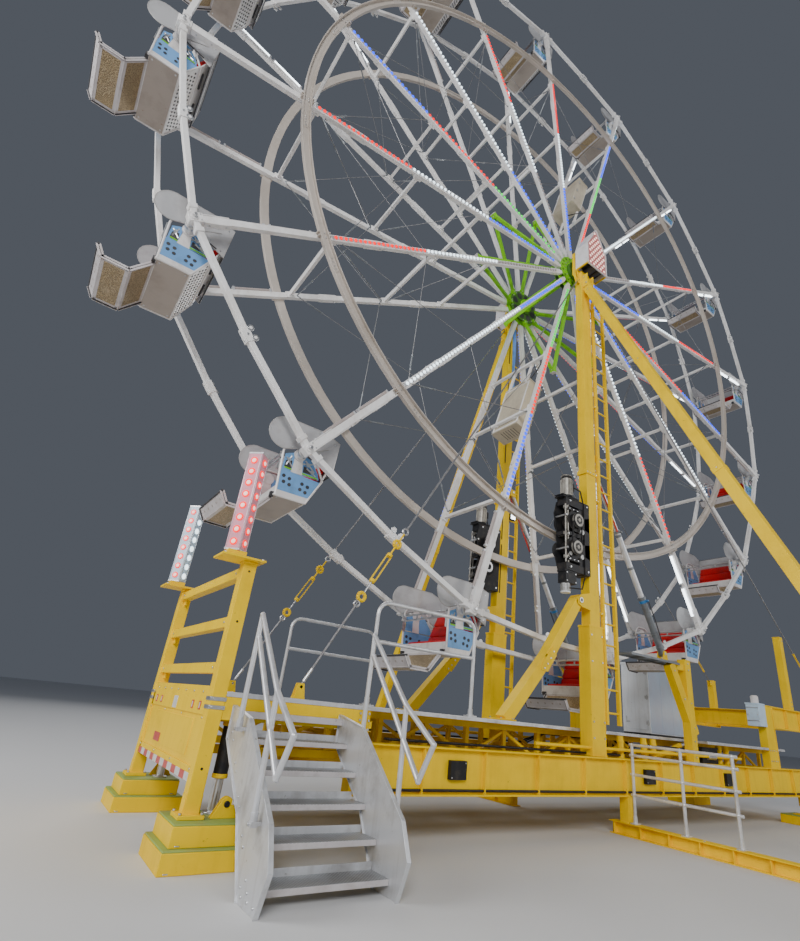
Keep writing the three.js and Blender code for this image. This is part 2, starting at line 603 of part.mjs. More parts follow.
for (const [word, side] of SIDES) {
  add(root, `${word}_tower`, PAINT_YELLOW, towerSolid(side));
  add(root, `${word}_ladder`, PAINT_YELLOW, ladderSolid(side));
  add(root, `${word}_drive_unit`, STEEL_DARK, driveUnit(side));

  add(root, `${word}_lift_cylinder`, STEEL_GREY, geometryOf(fuse([
    rod([190, side * LIFT_Y, 5330], [1180, side * LIFT_Y, 3680], 38, 8),
    rod([1110, side * LIFT_Y, 3797], [1885, side * LIFT_Y, 2480], 55, 8),
    block(TOWER_HALF + GAP, 250, side * (LIFT_Y - 50), side * (LIFT_Y + 50), 5240, 5380),
    block(1800, 1960, side * (LIFT_Y - 60), side * (LIFT_Y + 60), 2335 + GAP, 2520),
  ])));

  add(root, `${word}_lift_frame`, PAINT_YELLOW, geometryOf(fuse([
    block(700, 2000, side * 900, side * 1200, 2290, 2335),
    bar([1780, side * 1130, 2300], [2330, side * 1130, 1290], 120, 150),
    block(2150, 2310, side * BEAM_IN_Y, side * BEAM_OUT_Y, BEAM_TOP + GAP, 2410),
    block(1950, 2160, side * 1090, side * 1170, 2230, 2320),
  ])));

  const house = [[-190, TOWER_TOP + GAP], [390, TOWER_TOP + GAP], [390, 10000], [100, 10550], [-190, 10000]];
  add(root, `${word}_marquee`, CABINET_WHITE, plate(house, side * MARQUEE_IN_Y, side * MARQUEE_OUT_Y));

  const brace = bar([0, side * 1000, 9380], [0, side * (BRACE_FOOT_Y + 200), -60], BRACE_SIZE, BRACE_SIZE,
    [1, 0, 0]);
  const trimmed = solid(brace)
    .subtract(solid(block(-400, 400, 0, side * (TOWER_OUT_Y + GAP), 8000, 10500)))
    .subtract(solid(block(-400, 400, side * 1000, side * 1500, 9350, 10500)))
    .subtract(solid(block(-400, 400, side * 4000, side * 7000, -500, BRACE_FOOT_TOP + GAP)));
  add(root, `${word}_side_brace`, PAINT_YELLOW, geometryOf(trimmed));

  add(root, `${word}_sill`, PAINT_YELLOW, geometryOf(fuse([
    block(SILL_X - 80, SILL_X + 80, side * 900, side * 5350, 0, SILL_TOP),
    block(-300, SILL_X, side * 4700, side * 5350, 0, BRACE_FOOT_TOP),
    block(SILL_X - 60, SILL_X + 60, side * BEAM_IN_Y, side * BEAM_OUT_Y, SILL_TOP - 10, BEAM_LOW - GAP),
  ])));

  const guyAt = (x) => [x, side * 1020, 9230 + (x + 143) * 7900 / 4227];
  add(root, `${word}_front_guy`, WIRE, geometryOf(fuse([
    rod(guyAt(-143), guyAt(-4370), 9, 6),
    block(-TOWER_HALF - 60, -TOWER_HALF - GAP, side * 990, side * 1050, 9150, 9260),
    bar(guyAt(-3570), guyAt(-3765), 52, 40),
    block(-4430, -4320, side * 985, side * 1055, DECK_TOP + GAP, 1360),
  ])));

  add(root, `${word}_rear_guy`, WIRE, geometryOf(fuse([
    rod([TOWER_HALF + 30, side * 1000, 9230], [7300, side * 1100, 2560], 9, 6),
    block(TOWER_HALF + GAP, TOWER_HALF + 60, side * 970, side * 1030, 9180, 9280),
    block(7250, 7340 - GAP, side * 1070, side * 1130, 2500, 2610),
  ])));
}

// Generator cabinet and guard fence

// The cabinet is narrower beside the neck
function cabinetSolid() {
  const { x0, step, x1, y0, y1, yStep, top } = CABINET;
  const low = DECK_TOP + GAP;
  return geometryOf(fuse([
    block(x0, step, y0, y1, low, top),
    block(step - 10, x1, y0, yStep, low, top),
    block(x0 - 15, step + 15, y0 - 15, y1 + 15, top - 40, top + 10),
    block(step - 10, x1 + 15, y0 - 15, yStep + 10, top - 40, top + 10),
  ]));
}
add(root, 'generator_cabinet', CABINET_WHITE, cabinetSolid());

function guardFence() {
  const pieces = [];
  for (const y of [-1250, -1950, -2600]) {
    pieces.push(block(SILL_X - 20, SILL_X + 20, y - 20, y + 20, SILL_TOP + GAP, 1090));
    pieces.push(block(SILL_X - 60, SILL_X + 60, y - 40, y + 40, SILL_TOP + GAP, SILL_TOP + 14));
  }
  for (const z of [1080, 950, 720, 480]) {
    pieces.push(block(SILL_X - 18, SILL_X + 18, -2660, -1212, z - 19, z + 19));
  }
  return geometryOf(fuse(pieces));
}
add(root, 'guard_fence', ALUMINIUM, guardFence());

export default root;
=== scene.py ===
import bpy
import bmesh
import math
from mathutils import Matrix, Vector


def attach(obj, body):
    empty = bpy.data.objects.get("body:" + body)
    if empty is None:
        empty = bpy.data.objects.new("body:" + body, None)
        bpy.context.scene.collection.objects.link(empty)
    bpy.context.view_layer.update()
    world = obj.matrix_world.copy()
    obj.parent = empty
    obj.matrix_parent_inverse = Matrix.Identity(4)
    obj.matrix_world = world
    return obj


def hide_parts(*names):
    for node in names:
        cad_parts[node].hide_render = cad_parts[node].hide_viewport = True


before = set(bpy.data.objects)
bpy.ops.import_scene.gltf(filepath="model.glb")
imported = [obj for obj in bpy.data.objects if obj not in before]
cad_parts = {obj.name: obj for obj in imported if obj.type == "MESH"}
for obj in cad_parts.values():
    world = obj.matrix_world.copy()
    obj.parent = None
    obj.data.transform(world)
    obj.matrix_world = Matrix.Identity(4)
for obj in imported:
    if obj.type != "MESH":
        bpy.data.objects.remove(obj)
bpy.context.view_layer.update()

# All sizes below are in millimetres, measured from the axle's foot on the ground
MM = 0.001
SHIFT = 139.0  # from the frame's origin to the axle's foot
HUB = 9700.0  # height of the axle
SEATS = 16
PIVOT_R = 7500.0  # seat pins
JOINT_R = 7415.0  # joints in the rim, half way between the seats
RING_R = 5840.0  # middle of the drive ring
SIDE_Y = 740.0  # plane of the spokes and the rim
FIRST = 96.4  # angle of the first spoke in degrees
HALF_STEP = math.radians(180 / SEATS)
SPREADERS = (5680.0, 3840.0, 2480.0)  # radii of the bars across the wheel
PORTAL_X = -5150.0
JACK_X = -4930.0
TOWER_TOP = 9450.0
BEAM_IN, BEAM_OUT = 1060, 1200  # the two faces of a trailer beam
BEAM_MID = (BEAM_IN + BEAM_OUT) / 2
SIDES = (("near", -1), ("far", 1))
OUT, UP, FRONT = (0, 1, 0), (0, 0, 1), (-1, 0, 0)


def at(x, y, z):
    return Vector(((x + SHIFT) * MM, y * MM, z * MM))


def spoke_angle(k):
    return math.radians(FIRST - 360.0 / SEATS * k)


# ---- materials ----

def lay(tree, kind, **inputs):
    """Adds a node to the right of the ones before it, with its inputs set."""
    node = tree.nodes.new(kind)
    node.location = (200 * len(tree.nodes) - 2400, 0)
    for key, value in inputs.items():
        node.inputs[key.replace("_", " ")].default_value = value
    return node


def noise(tree, source, **inputs):
    node = lay(tree, "ShaderNodeTexNoise", **inputs)
    tree.links.new(source, node.inputs["Vector"])
    return node.outputs["Fac"]


def mapped(tree, source, **inputs):
    node = lay(tree, "ShaderNodeMapping", **inputs)
    tree.links.new(source, node.inputs["Vector"])
    return node.outputs["Vector"]


def mask(tree, source, start, stop, strength):
    """Grey that rises from nothing at start to the given strength at stop."""
    node = lay(tree, "ShaderNodeValToRGB")
    for element, place, grey in zip(node.color_ramp.elements, (start, stop), (0, strength)):
        element.position = place
        element.color = (grey, grey, grey, 1)
    tree.links.new(source, node.inputs["Fac"])
    return node.outputs["Color"]


def blend(tree, factor, under, over):
    """Lays a colour over a colour or an earlier blend."""
    node = lay(tree, "ShaderNodeMix")
    node.data_type = "RGBA"
    if isinstance(under, tuple):
        node.inputs["A"].default_value = (*under, 1)
    else:
        tree.links.new(under, node.inputs["A"])
    node.inputs["B"].default_value = (*over, 1)
    tree.links.new(factor, node.inputs["Factor"])
    return node.outputs["Result"]


def emboss(tree, height, strength, distance, invert=False):
    """Adds a bump on top of the bump that is there already."""
    normal = tree.nodes["Principled BSDF"].inputs["Normal"]
    node = lay(tree, "ShaderNodeBump", Strength=strength, Distance=distance)
    node.invert = invert
    if normal.is_linked:
        tree.links.new(normal.links[0].from_socket, node.inputs["Normal"])
    tree.links.new(height, node.inputs["Height"])
    tree.links.new(node.outputs["Normal"], normal)


def start_material(name):
    mat = bpy.data.materials.new(name)
    mat.use_nodes = True
    tree = mat.node_tree
    return mat, tree, tree.nodes["Principled BSDF"].inputs, lay(tree, "ShaderNodeTexCoord").outputs["Object"]


def finish(name, color, rough, metal, stain, stained, size, grit, bump, speck=None, specks=0.0, streak=0.0,
           alpha=1.0):
    """Paint or metal with slow fading, stains, small chips, runs and a fine uneven surface."""
    mat, tree, shader, place = start_material(name)
    shader["Metallic"].default_value = metal
    shader["Alpha"].default_value = alpha
    slow = noise(tree, place, Scale=size, Detail=6.0, Roughness=0.62)
    color = blend(tree, mask(tree, slow, 0.48, 0.74, stained), color, stain)
    if streak:
        runs = noise(tree, mapped(tree, place, Scale=(9.0, 9.0, 0.8)), Scale=1.6, Detail=4.0)
        color = blend(tree, mask(tree, runs, 0.5, 0.8, streak), color, stain)
    if specks:
        chips = noise(tree, place, Scale=grit * 0.35, Detail=5.0, Roughness=0.7)
        color = blend(tree, mask(tree, chips, 0.66, 0.7, specks), color, speck)
    tree.links.new(color, shader["Base Color"])
    gloss = lay(tree, "ShaderNodeMapRange", To_Min=max(rough - 0.12, 0.03), To_Max=min(rough + 0.14, 1.0))
    tree.links.new(slow, gloss.inputs["Value"])
    tree.links.new(gloss.outputs["Result"], shader["Roughness"])
    emboss(tree, noise(tree, place, Scale=grit, Detail=3.0), bump, 0.004)
    return mat


def lit(name, color, strength, dark=0.75):
    """A bulb or tube that is switched on, a little dimmer at some bulbs."""
    mat, tree, shader, place = start_material(name)
    shader["Roughness"].default_value = 0.25
    glow = blend(tree, noise(tree, place, Scale=4.0, Detail=2.0), tuple(c * dark for c in color), color)
    tree.links.new(glow, shader["Base Color"])
    tree.links.new(glow, shader["Emission Color"])
    shader["Emission Strength"].default_value = strength
    return mat


def overlay(mat, factor, over):
    tree = mat.node_tree
    base = tree.nodes["Principled BSDF"].inputs["Base Color"]
    tree.links.new(blend(tree, factor, base.links[0].from_socket, over), base)


def object_place(tree):
    return next(n for n in tree.nodes if n.type == "TEX_COORD").outputs["Object"]


def add_tread(mat, bright):
    """Raised diamonds of tread plate, worn bright on top."""
    tree = mat.node_tree
    both = lay(tree, "ShaderNodeMath")
    both.operation = "MULTIPLY"
    for i, turn in enumerate((45, -45)):
        wave = lay(tree, "ShaderNodeTexWave", Scale=16.0, Distortion=0.0)
        turned = mapped(tree, object_place(tree), Rotation=(0, 0, math.radians(turn)))
        tree.links.new(turned, wave.inputs["Vector"])
        tree.links.new(wave.outputs["Fac"], both.inputs[i])
    overlay(mat, mask(tree, both.outputs[0], 0.35, 0.6, 0.8), bright)
    emboss(tree, both.outputs[0], 0.9, 0.003)


def add_openings(mat, dark):
    """Expanded metal: small raised strands round openings painted dark, as painted shade seen through them."""
    tree = mat.node_tree
    cell = lay(tree, "ShaderNodeTexVoronoi", Scale=64.0)
    cell.feature = "DISTANCE_TO_EDGE"
    tree.links.new(mapped(tree, object_place(tree), Scale=(1.0, 0.55, 1.0)), cell.inputs["Vector"])
    # the dark colour laid in the openings is painted shade
    holes = mask(tree, cell.outputs["Distance"], 0.10, 0.20, 0.7)
    overlay(mat, holes, dark)
    emboss(tree, holes, 0.9, 0.004, invert=True)


RUST = (0.22, 0.09, 0.035)
# colour, roughness, metal, stain, its strength and size, grit, bump, then chips, their strength, runs and alpha
FINISHES = {
    "wheel_paint": ((0.90, 0.89, 0.88), 0.42, 0.0, (0.40, 0.34, 0.28), 0.5, 1.7, 45, 0.06, RUST, 0.18, 0.2),
    "ring_paint": ((0.60, 0.54, 0.48), 0.36, 0.15, (0.34, 0.28, 0.22), 0.45, 1.3, 40, 0.05, RUST, 0.18),
    "yellow_paint": ((1.0, 0.66, 0.0), 0.46, 0.0, (0.52, 0.27, 0.0), 0.3, 1.8, 50, 0.05, (0.28, 0.15, 0.04), 0.5,
                     0.16),
    "lime_paint": ((0.24, 0.66, 0.01), 0.42, 0.0, (0.07, 0.17, 0.02), 0.7, 5.0, 60, 0.08, (0.10, 0.09, 0.05), 0.6),
    # the hubs' darker green is lime paint darkened to paint in the shade on them: painted shade
    "hub_green": ((0.07, 0.19, 0.02), 0.5, 0.1, (0.03, 0.05, 0.015), 0.7, 6.0, 60, 0.12, (0.10, 0.09, 0.05), 0.6),
    "box_beige": ((0.62, 0.55, 0.42), 0.45, 0.0, (0.34, 0.28, 0.20), 0.6, 2.4, 50, 0.06, RUST, 0.5, 0.35),
    "machine_black": ((0.022, 0.022, 0.024), 0.4, 0.1, (0.09, 0.075, 0.06), 0.6, 9, 80, 0.15),
    "motor_grey": ((0.50, 0.50, 0.49), 0.42, 0.45, (0.12, 0.10, 0.08), 0.6, 8, 80, 0.12),
    "pulley_grey": ((0.36, 0.34, 0.30), 0.4, 0.4, (0.10, 0.085, 0.07), 0.7, 12, 80, 0.1),
    "tyre_rubber": ((0.02, 0.02, 0.02), 0.75, 0.0, (0.10, 0.09, 0.08), 0.6, 14, 120, 0.3),
    "bare_steel": ((0.66, 0.67, 0.68), 0.3, 0.9, (0.22, 0.19, 0.16), 0.5, 7, 90, 0.08),
    "ram_grey": ((0.24, 0.26, 0.28), 0.38, 0.5, (0.10, 0.09, 0.08), 0.5, 6, 80, 0.08),
    "coupling_blue": ((0.03, 0.22, 0.55), 0.4, 0.0, (0.05, 0.06, 0.08), 0.4, 12, 80, 0.06),
    "tread_plate": ((0.40, 0.41, 0.42), 0.38, 0.75, (0.14, 0.12, 0.10), 0.7, 2.5, 60, 0.08),
    "stair_metal": ((0.70, 0.71, 0.73), 0.42, 0.5, (0.24, 0.21, 0.18), 0.6, 3.5, 55, 0.1, (0.2, 0.17, 0.14), 0.6,
                    0.3),
    "rail_tube": ((0.78, 0.79, 0.81), 0.34, 0.6, (0.30, 0.27, 0.24), 0.5, 6, 70, 0.06),
    "cabinet_paint": ((0.88, 0.91, 0.95), 0.4, 0.0, (0.42, 0.40, 0.37), 0.5, 1.5, 50, 0.07, (0.3, 0.25, 0.2), 0.5,
                      0.35),
    "cover_panel": ((0.66, 0.78, 0.94), 0.22, 0.15, (0.62, 0.60, 0.72), 0.6, 1.1, 50, 0.04, None, 0.0, 0.2),
    "seat_pan": ((0.44, 0.38, 0.33), 0.33, 0.25, (0.24, 0.19, 0.15), 0.5, 2.6, 50, 0.05, RUST, 0.6),
    "seat_frame": ((0.76, 0.74, 0.73), 0.42, 0.1, (0.33, 0.28, 0.24), 0.6, 4, 60, 0.1, RUST, 0.6),
    "seat_blue": ((0.17, 0.37, 0.68), 0.36, 0.0, (0.10, 0.18, 0.26), 0.5, 5, 60, 0.07, (0.45, 0.45, 0.45), 0.5),
    "tray_mesh": ((0.50, 0.38, 0.22), 0.36, 0.55, (0.62, 0.50, 0.34), 0.7, 2.4, 60, 0.1),
    "tray_lip": ((0.64, 0.60, 0.60), 0.4, 0.2, (0.38, 0.33, 0.30), 0.6, 6, 60, 0.08, RUST, 0.5),
    # dark trim and dark parts; on the seats it also draws the hole discs, flange strips and inner plates that are
    # painted shade
    "dark_trim_and_painted_shade": ((0.035, 0.035, 0.04), 0.55, 0.0, (0.14, 0.13, 0.12), 0.5, 9, 90, 0.15),
    "bench_vinyl": ((0.62, 0.010, 0.012), 0.36, 0.0, (0.16, 0.02, 0.02), 0.55, 6, 140, 0.35),
    "head_shield": ((0.58, 0.58, 0.59), 0.22, 0.0, (0.36, 0.34, 0.33), 0.7, 3.0, 90, 0.05, (0.85, 0.85, 0.85), 0.5,
                    0.0, 0.72),
    "shield_rim": ((0.40, 0.39, 0.38), 0.35, 0.2, (0.22, 0.20, 0.18), 0.5, 5, 90, 0.06),
    "marquee_face": ((0.66, 0.26, 0.25), 0.4, 0.0, (0.52, 0.36, 0.34), 0.5, 6, 60, 0.05),
    "marquee_side": ((0.80, 0.77, 0.76), 0.4, 0.0, (0.55, 0.50, 0.46), 0.5, 3, 60, 0.06),
    "pillar_pink": ((0.86, 0.36, 0.46), 0.3, 0.0, (0.60, 0.28, 0.34), 0.5, 5, 60, 0.05),
    "pillar_pale": ((0.60, 0.76, 0.90), 0.3, 0.0, (0.48, 0.52, 0.58), 0.5, 5, 60, 0.05),
    "tape_red": ((0.60, 0.05, 0.03), 0.3, 0.0, (0.30, 0.05, 0.04), 0.5, 12, 90, 0.06),
    "tape_white": ((0.74, 0.74, 0.72), 0.3, 0.0, (0.45, 0.42, 0.38), 0.5, 12, 90, 0.06),
    "pad_green": ((0.30, 0.42, 0.10), 0.6, 0.0, (0.40, 0.30, 0.08), 0.7, 4, 60, 0.15),
    "wire_rope": ((0.30, 0.30, 0.31), 0.45, 0.8, (0.15, 0.13, 0.11), 0.6, 20, 200, 0.3),
    "bulb_dim": ((0.46, 0.40, 0.38), 0.3, 0.0, (0.3, 0.22, 0.2), 0.5, 20, 90, 0.05),
}
# colour and strength
LIGHTS = {
    "bulb_red": ((1.0, 0.0, 0.0), 1.9),
    "bulb_white": ((0.80, 0.93, 1.0), 2.6),
    "bulb_blue": ((0.0, 0.05, 1.0), 2.6),
    "bulb_green": ((0.0, 0.75, 0.05), 1.9),
    "bulb_pink": ((1.0, 0.66, 0.58), 1.5),
    "tube_white": ((0.86, 0.95, 1.0), 6.0),
}
M = {name: finish(name, *values) for name, values in FINISHES.items()}
M.update({name: lit(name, *values) for name, values in LIGHTS.items()})
add_tread(M["tread_plate"], (0.66, 0.67, 0.68))
# the dark colour given here is the painted shade in the mesh openings
add_openings(M["tray_mesh"], (0.17, 0.12, 0.06))
for key in ("yellow_paint", "lime_paint", "bench_vinyl", "seat_blue", "machine_black"):
    M[key].node_tree.nodes["Principled BSDF"].inputs["Specular IOR Level"].default_value = 0.22


# ---- shapes ----

class Form:
    """The mesh of one piece. A place is a vector in metres, or a tuple in millimetres from the origin that counts
    Y outwards on the side being made."""

    def __init__(self, side=1, origin=(0, 0, 0)):
        self.bm, self.side, self.origin = bmesh.new(), side, origin

    def spot(self, p):
        if isinstance(p, Vector):
            return p
        x, y, z = self.origin
        return at(p[0] + x, self.side * p[1] + y, p[2] + z)

    def on(self, r, angle, y, across=0.0):
        """A place on the wheel at a radius and angle, or beside it along the rim."""
        return at(r * math.cos(angle) - across * math.sin(angle), self.side * y,
                  HUB + r * math.sin(angle) + across * math.cos(angle))

    def mark(self, verts, m):
        for v in verts:
            for f in v.link_faces:
                f.material_index = m

    def box(self, x0, x1, y0, y1, z0, z1, m=0):
        a, b = self.spot((x0, y0, z0)), self.spot((x1, y1, z1))
        size = [abs(q - p) for p, q in zip(a, b)]
        place = Matrix.Translation((a + b) / 2) @ Matrix.Diagonal((*size, 1))
        self.mark(bmesh.ops.create_cube(self.bm, size=1, matrix=place)["verts"], m)

    def boxes(self, rows, m=0):
        for row in rows:
            self.box(*row, m)

    def bar(self, a, b, wide, deep, m=0, face=OUT):
        """A bar between two places, as wide as stated along the face direction."""
        a, b = self.spot(a), self.spot(b)
        along = b - a
        step = along.normalized()
        s = (Vector(face) - step * Vector(face).dot(step)).normalized()
        place = Matrix((along, s * wide * MM, step.cross(s) * deep * MM)).transposed().to_4x4()
        place.translation = (a + b) / 2
        self.mark(bmesh.ops.create_cube(self.bm, size=1, matrix=place)["verts"], m)

    def ray(self, angle, r0, r1, y, wide, deep, across=0.0, m=0):
        """A bar that points away from the axle."""
        self.bar(self.on(r0, angle, y, across), self.on(r1, angle, y, across), wide, deep, m)

    def rod(self, a, b, r, seg=12, m=0, r2=None):
        a, b = self.spot(a), self.spot(b)
        turn = Vector(UP).rotation_difference(b - a).to_matrix().to_4x4()
        made = bmesh.ops.create_cone(self.bm, cap_ends=True, segments=seg, radius1=r * MM,
                                     radius2=(r if r2 is None else r2) * MM, depth=(b - a).length,
                                     matrix=Matrix.Translation((a + b) / 2) @ turn)
        self.mark(made["verts"], m)

    def pin(self, angle, r, y, reach, size, seg=8, m=2):
        """A rod along the rim, through what lies at a radius."""
        self.rod(self.on(r, angle, y, -reach), self.on(r, angle, y, reach), size, seg, m)

    def discs(self, x, z, rows):
        """Rods across the object: from and to Y, radius, segments and material."""
        for y0, y1, r, seg, m in rows:
            self.rod((x, y0, z), (x, y1, z), r, seg, m)

    def post(self, x, y, rows):
        """Upright rods: from and to Z, radius, segments and material."""
        for z0, z1, r, seg, m in rows:
            self.rod((x, y, z0), (x, y, z1), r, seg, m)

    def ball(self, c, r, m=0, fine=2):
        place = Matrix.Translation(self.spot(c))
        made = bmesh.ops.create_icosphere(self.bm, subdivisions=fine, radius=r * MM, matrix=place)
        self.mark(made["verts"], m)

    def pipe(self, points, r, seg=8, m=0):
        for a, b in zip(points, points[1:]):
            self.rod(a, b, r, seg, m)
        for p in points[1:-1]:
            self.ball(p, r * 1.01, m)

    def eye(self, c, r, thick, m):
        """A round eye of bent bar that faces sideways."""
        first, second = Vector((1, 0, 1)).normalized(), Vector((1, 0, -1)).normalized()
        turns = [math.pi * i / 6 for i in range(12)]
        points = [self.spot(c) + (first * math.cos(t) + second * math.sin(t)) * r * MM for t in turns]
        for p, q in zip(points, points[1:] + points[:1]):
            self.rod(p, q, thick, 8, m)

    def sheet(self, outline, push, m):
        """A flat outline made thick by a push."""
        verts = [self.bm.verts.new(self.spot(p)) for p in outline]
        made = bmesh.ops.extrude_face_region(self.bm, geom=[self.bm.faces.new(verts)])
        new = [v for v in made["geom"] if isinstance(v, bmesh.types.BMVert)]
        bmesh.ops.translate(self.bm, verts=new, vec=push)
        self.mark(verts + new, m)

    def plate(self, outline, y0, y1, m=0):
        """A plate drawn in X and Z, between two Y values."""
        self.sheet([(x, y0, z) for x, z in outline], (0, self.side * (y1 - y0) * MM, 0), m)

    def side_plate(self, outline, x0, x1, m=0):
        """A plate drawn in Y and Z, between two X values."""
        self.sheet([(x0, y, z) for y, z in outline], ((x1 - x0) * MM, 0, 0), m)

    def turned(self, profile, x, z, seg, m=0):
        """A closed profile of radius and Y, turned round an axis across the object."""
        before = set(self.bm.verts)
        verts = [self.bm.verts.new(self.spot((x + r, y, z))) for r, y in profile]
        edges = [self.bm.edges.new(ends) for ends in zip(verts, verts[1:] + verts[:1])]
        bmesh.ops.spin(self.bm, geom=verts + edges, cent=self.spot((x, 0, z)), axis=OUT, angle=2 * math.pi, steps=seg,
                       use_merge=True)
        self.mark([v for v in self.bm.verts if v not in before], m)

    def bolts(self, spots, axis, r=12, h=10, m=1):
        push = Vector((axis[0], self.side * axis[1], axis[2])).normalized() * h * MM
        for spot in spots:
            self.rod(spot, self.spot(spot) + push, r, 6, m)

    def bolt_ring(self, x, y, z, reach, r, h, m=1, start=0):
        """Six bolts in a circle round an axis across the object."""
        turns = [math.radians(start + 60 * i) for i in range(6)]
        self.bolts([(x + reach * math.cos(t), y, z + reach * math.sin(t)) for t in turns], OUT, r, h, m)


def arc(cx, cz, r, start, end, steps):
    turns = [math.radians(start + (end - start) * i / steps) for i in range(steps + 1)]
    return [(cx + r * math.cos(t), cz + r * math.sin(t)) for t in turns]


def piece(name, form, body, mats, replaces=(), bevel=0.0, angle=35):
    """Makes the finished piece and lets it ride on its body."""
    bmesh.ops.recalc_face_normals(form.bm, faces=form.bm.faces)
    mesh = bpy.data.meshes.new(name)
    form.bm.to_mesh(mesh)
    form.bm.free()
    for key in mats:
        mesh.materials.append(M[key])
    mesh.polygons.foreach_set("use_smooth", [True] * len(mesh.polygons))
    mesh.set_sharp_from_angle(angle=math.radians(angle))
    obj = bpy.data.objects.new(name, mesh)
    bpy.context.scene.collection.objects.link(obj)
    if bevel:
        edge = obj.modifiers.new("edges", "BEVEL")
        edge.width = bevel * MM
        edge.segments = 2
        edge.limit_method = "ANGLE"
        edge.angle_limit = math.radians(50)
        edge.use_clamp_overlap = True
    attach(obj, body)
    if replaces:
        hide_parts(*replaces)
    return obj


# ---- wheel ----

def spokes(word, side):
    w = Form(side)
    # the darker green hub discs and studs (material 3) are lime with painted shade
    w.discs(0, HUB, ((695, 720, 429, 64, 1), (718, 764, 300, 64, 3), (762, 784, 360, 64, 1), (782, 850, 190, 48, 3)))
    for k in range(SEATS):
        a = spoke_angle(k) + HALF_STEP
        w.rod(w.on(310, a, 780), w.on(310, a, 787), 26, 12, 3)
        w.bolts([w.on(240, a, 784)], OUT, 15, 14, 2)
    for k in range(SEATS):
        a = spoke_angle(k)
        w.ray(a, 405, 7399, SIDE_Y, 70, 85)
        w.ray(a, 318, 640, SIDE_Y, 62, 66)
        for r in (3050, 5000):
            w.ray(a, r - 160, r + 160, SIDE_Y, 84, 99)
        # hub and seat ends are forked plates with cross bolts
        for s in (-1, 1):
            w.ray(a, 420, 700, SIDE_Y, 74, 9, s * 46)
            w.ray(a, 7090, 7397, SIDE_Y, 80, 12, s * 50)
        for reach, size, radii in ((58, 11, (470, 540, 650)), (62, 10, (2940, 3160, 4890, 5110)),
                                   (66, 11, (7140, 7330))):
            for r in radii:
                w.pin(a, r, SIDE_Y, reach, size)
        for r in SPREADERS:
            w.ray(a, r - 70, r + 70, 690, 26, 100)
            w.bolts([w.on(r + s, a, SIDE_Y + 35) for s in (-48, 48)], OUT, 13, 10, 2)
            if word == "near":
                w.bar(w.on(r, a, -676), w.on(r, a, 676), 55, 55, face=(math.cos(a), 0, math.sin(a)))
    piece(f"{word}_spoke_set", w, "wheel", ["wheel_paint", "lime_paint", "bare_steel", "hub_green"],
          (f"{word}_spokes",), bevel=5)


def rim(word, side):
    w = Form(side)
    for k in range(SEATS):
        a = spoke_angle(k)
        mid = a - HALF_STEP
        for end in (a, a - 2 * HALF_STEP):
            w.bar(w.on(PIVOT_R, end, SIDE_Y), w.on(JOINT_R, mid, SIDE_Y), 78, 68)
        # mid joint: two ears, a sleeve, pins and two small bosses; seat joint: a knuckle with clamped ends
        for turn, r, reach, wide, deep in ((mid, JOINT_R - 48, 88, 60, 10), (mid, JOINT_R + 48, 88, 60, 10),
                                           (mid, JOINT_R, 86, 104, 92), (a - math.radians(1.15), 7480, 28, 102, 98),
                                           (a + math.radians(1.15), 7480, 28, 102, 98)):
            w.bar(w.on(r, turn, SIDE_Y, -reach), w.on(r, turn, SIDE_Y, reach), wide, deep)
        for s in (-1, 1):
            w.rod(w.on(JOINT_R - 58, mid, SIDE_Y, s * 50), w.on(JOINT_R + 58, mid, SIDE_Y, s * 50), 13, 8, 1)
            for thick, r, seg, m in ((14, 42, 16, 1), (20, 20, 12, 0)):
                w.rod(w.on(JOINT_R - 66, mid, 782, s * 62), w.on(JOINT_R - 66, mid, 782 + thick, s * 62), r, seg, m)
        w.rod(w.on(JOINT_R, mid, 695), w.on(JOINT_R, mid, 797), 18, 10, 1)
        w.ray(a, 7402, 7568, SIDE_Y, 104, 116)
        w.bolts([w.on(7430, a, 790, s) for s in (-36, 36)], OUT, 11, 10)
        for y0, y1, r, seg, m in ((560, 800, 24, 20, 1), (650, 688, 44, 20, 1), (790, 806, 46, 20, 0),
                                  (806, 842, 22, 16, 1)):
            w.rod(w.on(PIVOT_R, a, y0), w.on(PIVOT_R, a, y1), r, seg, m)
    piece(f"{word}_rim_bars", w, "wheel", ["wheel_paint", "bare_steel"], (f"{word}_rim",), bevel=5)


def drive_ring(word, side):
    w = Form(side)
    low, high, inner, outer = RING_R - 65, RING_R + 65, 775.3, 837.3
    # a rolled channel: web towards the spokes, two flanges outwards
    w.turned([(low, inner), (high, inner), (high, outer), (high - 14, outer), (high - 16, inner + 16),
              (low + 16, inner + 16), (low + 14, outer), (low, outer)], 0, HUB, 128)
    for k in range(SEATS):
        a = spoke_angle(k)
        for s in (-26, 26):
            for r in (low - 34, high - 6):
                w.ray(a, r, r + 40, 806, 60, 12, s)
        w.bolts([w.on(r, a, 791, s) for r in (RING_R - 28, RING_R + 28) for s in (-30, 30)], OUT, 12, 12)
        splice = a + math.radians(4.2)
        w.bar(w.on(RING_R, splice, 795, -110), w.on(RING_R, splice, 795, 110), 8, 84)
        w.bolts([w.on(RING_R, splice, 798, s) for s in (-80, -30, 30, 80)], OUT, 10, 10)
    piece(f"{word}_ring_band", w, "wheel", ["ring_paint", "bare_steel"], (f"{word}_drive_ring",),
          bevel=2)


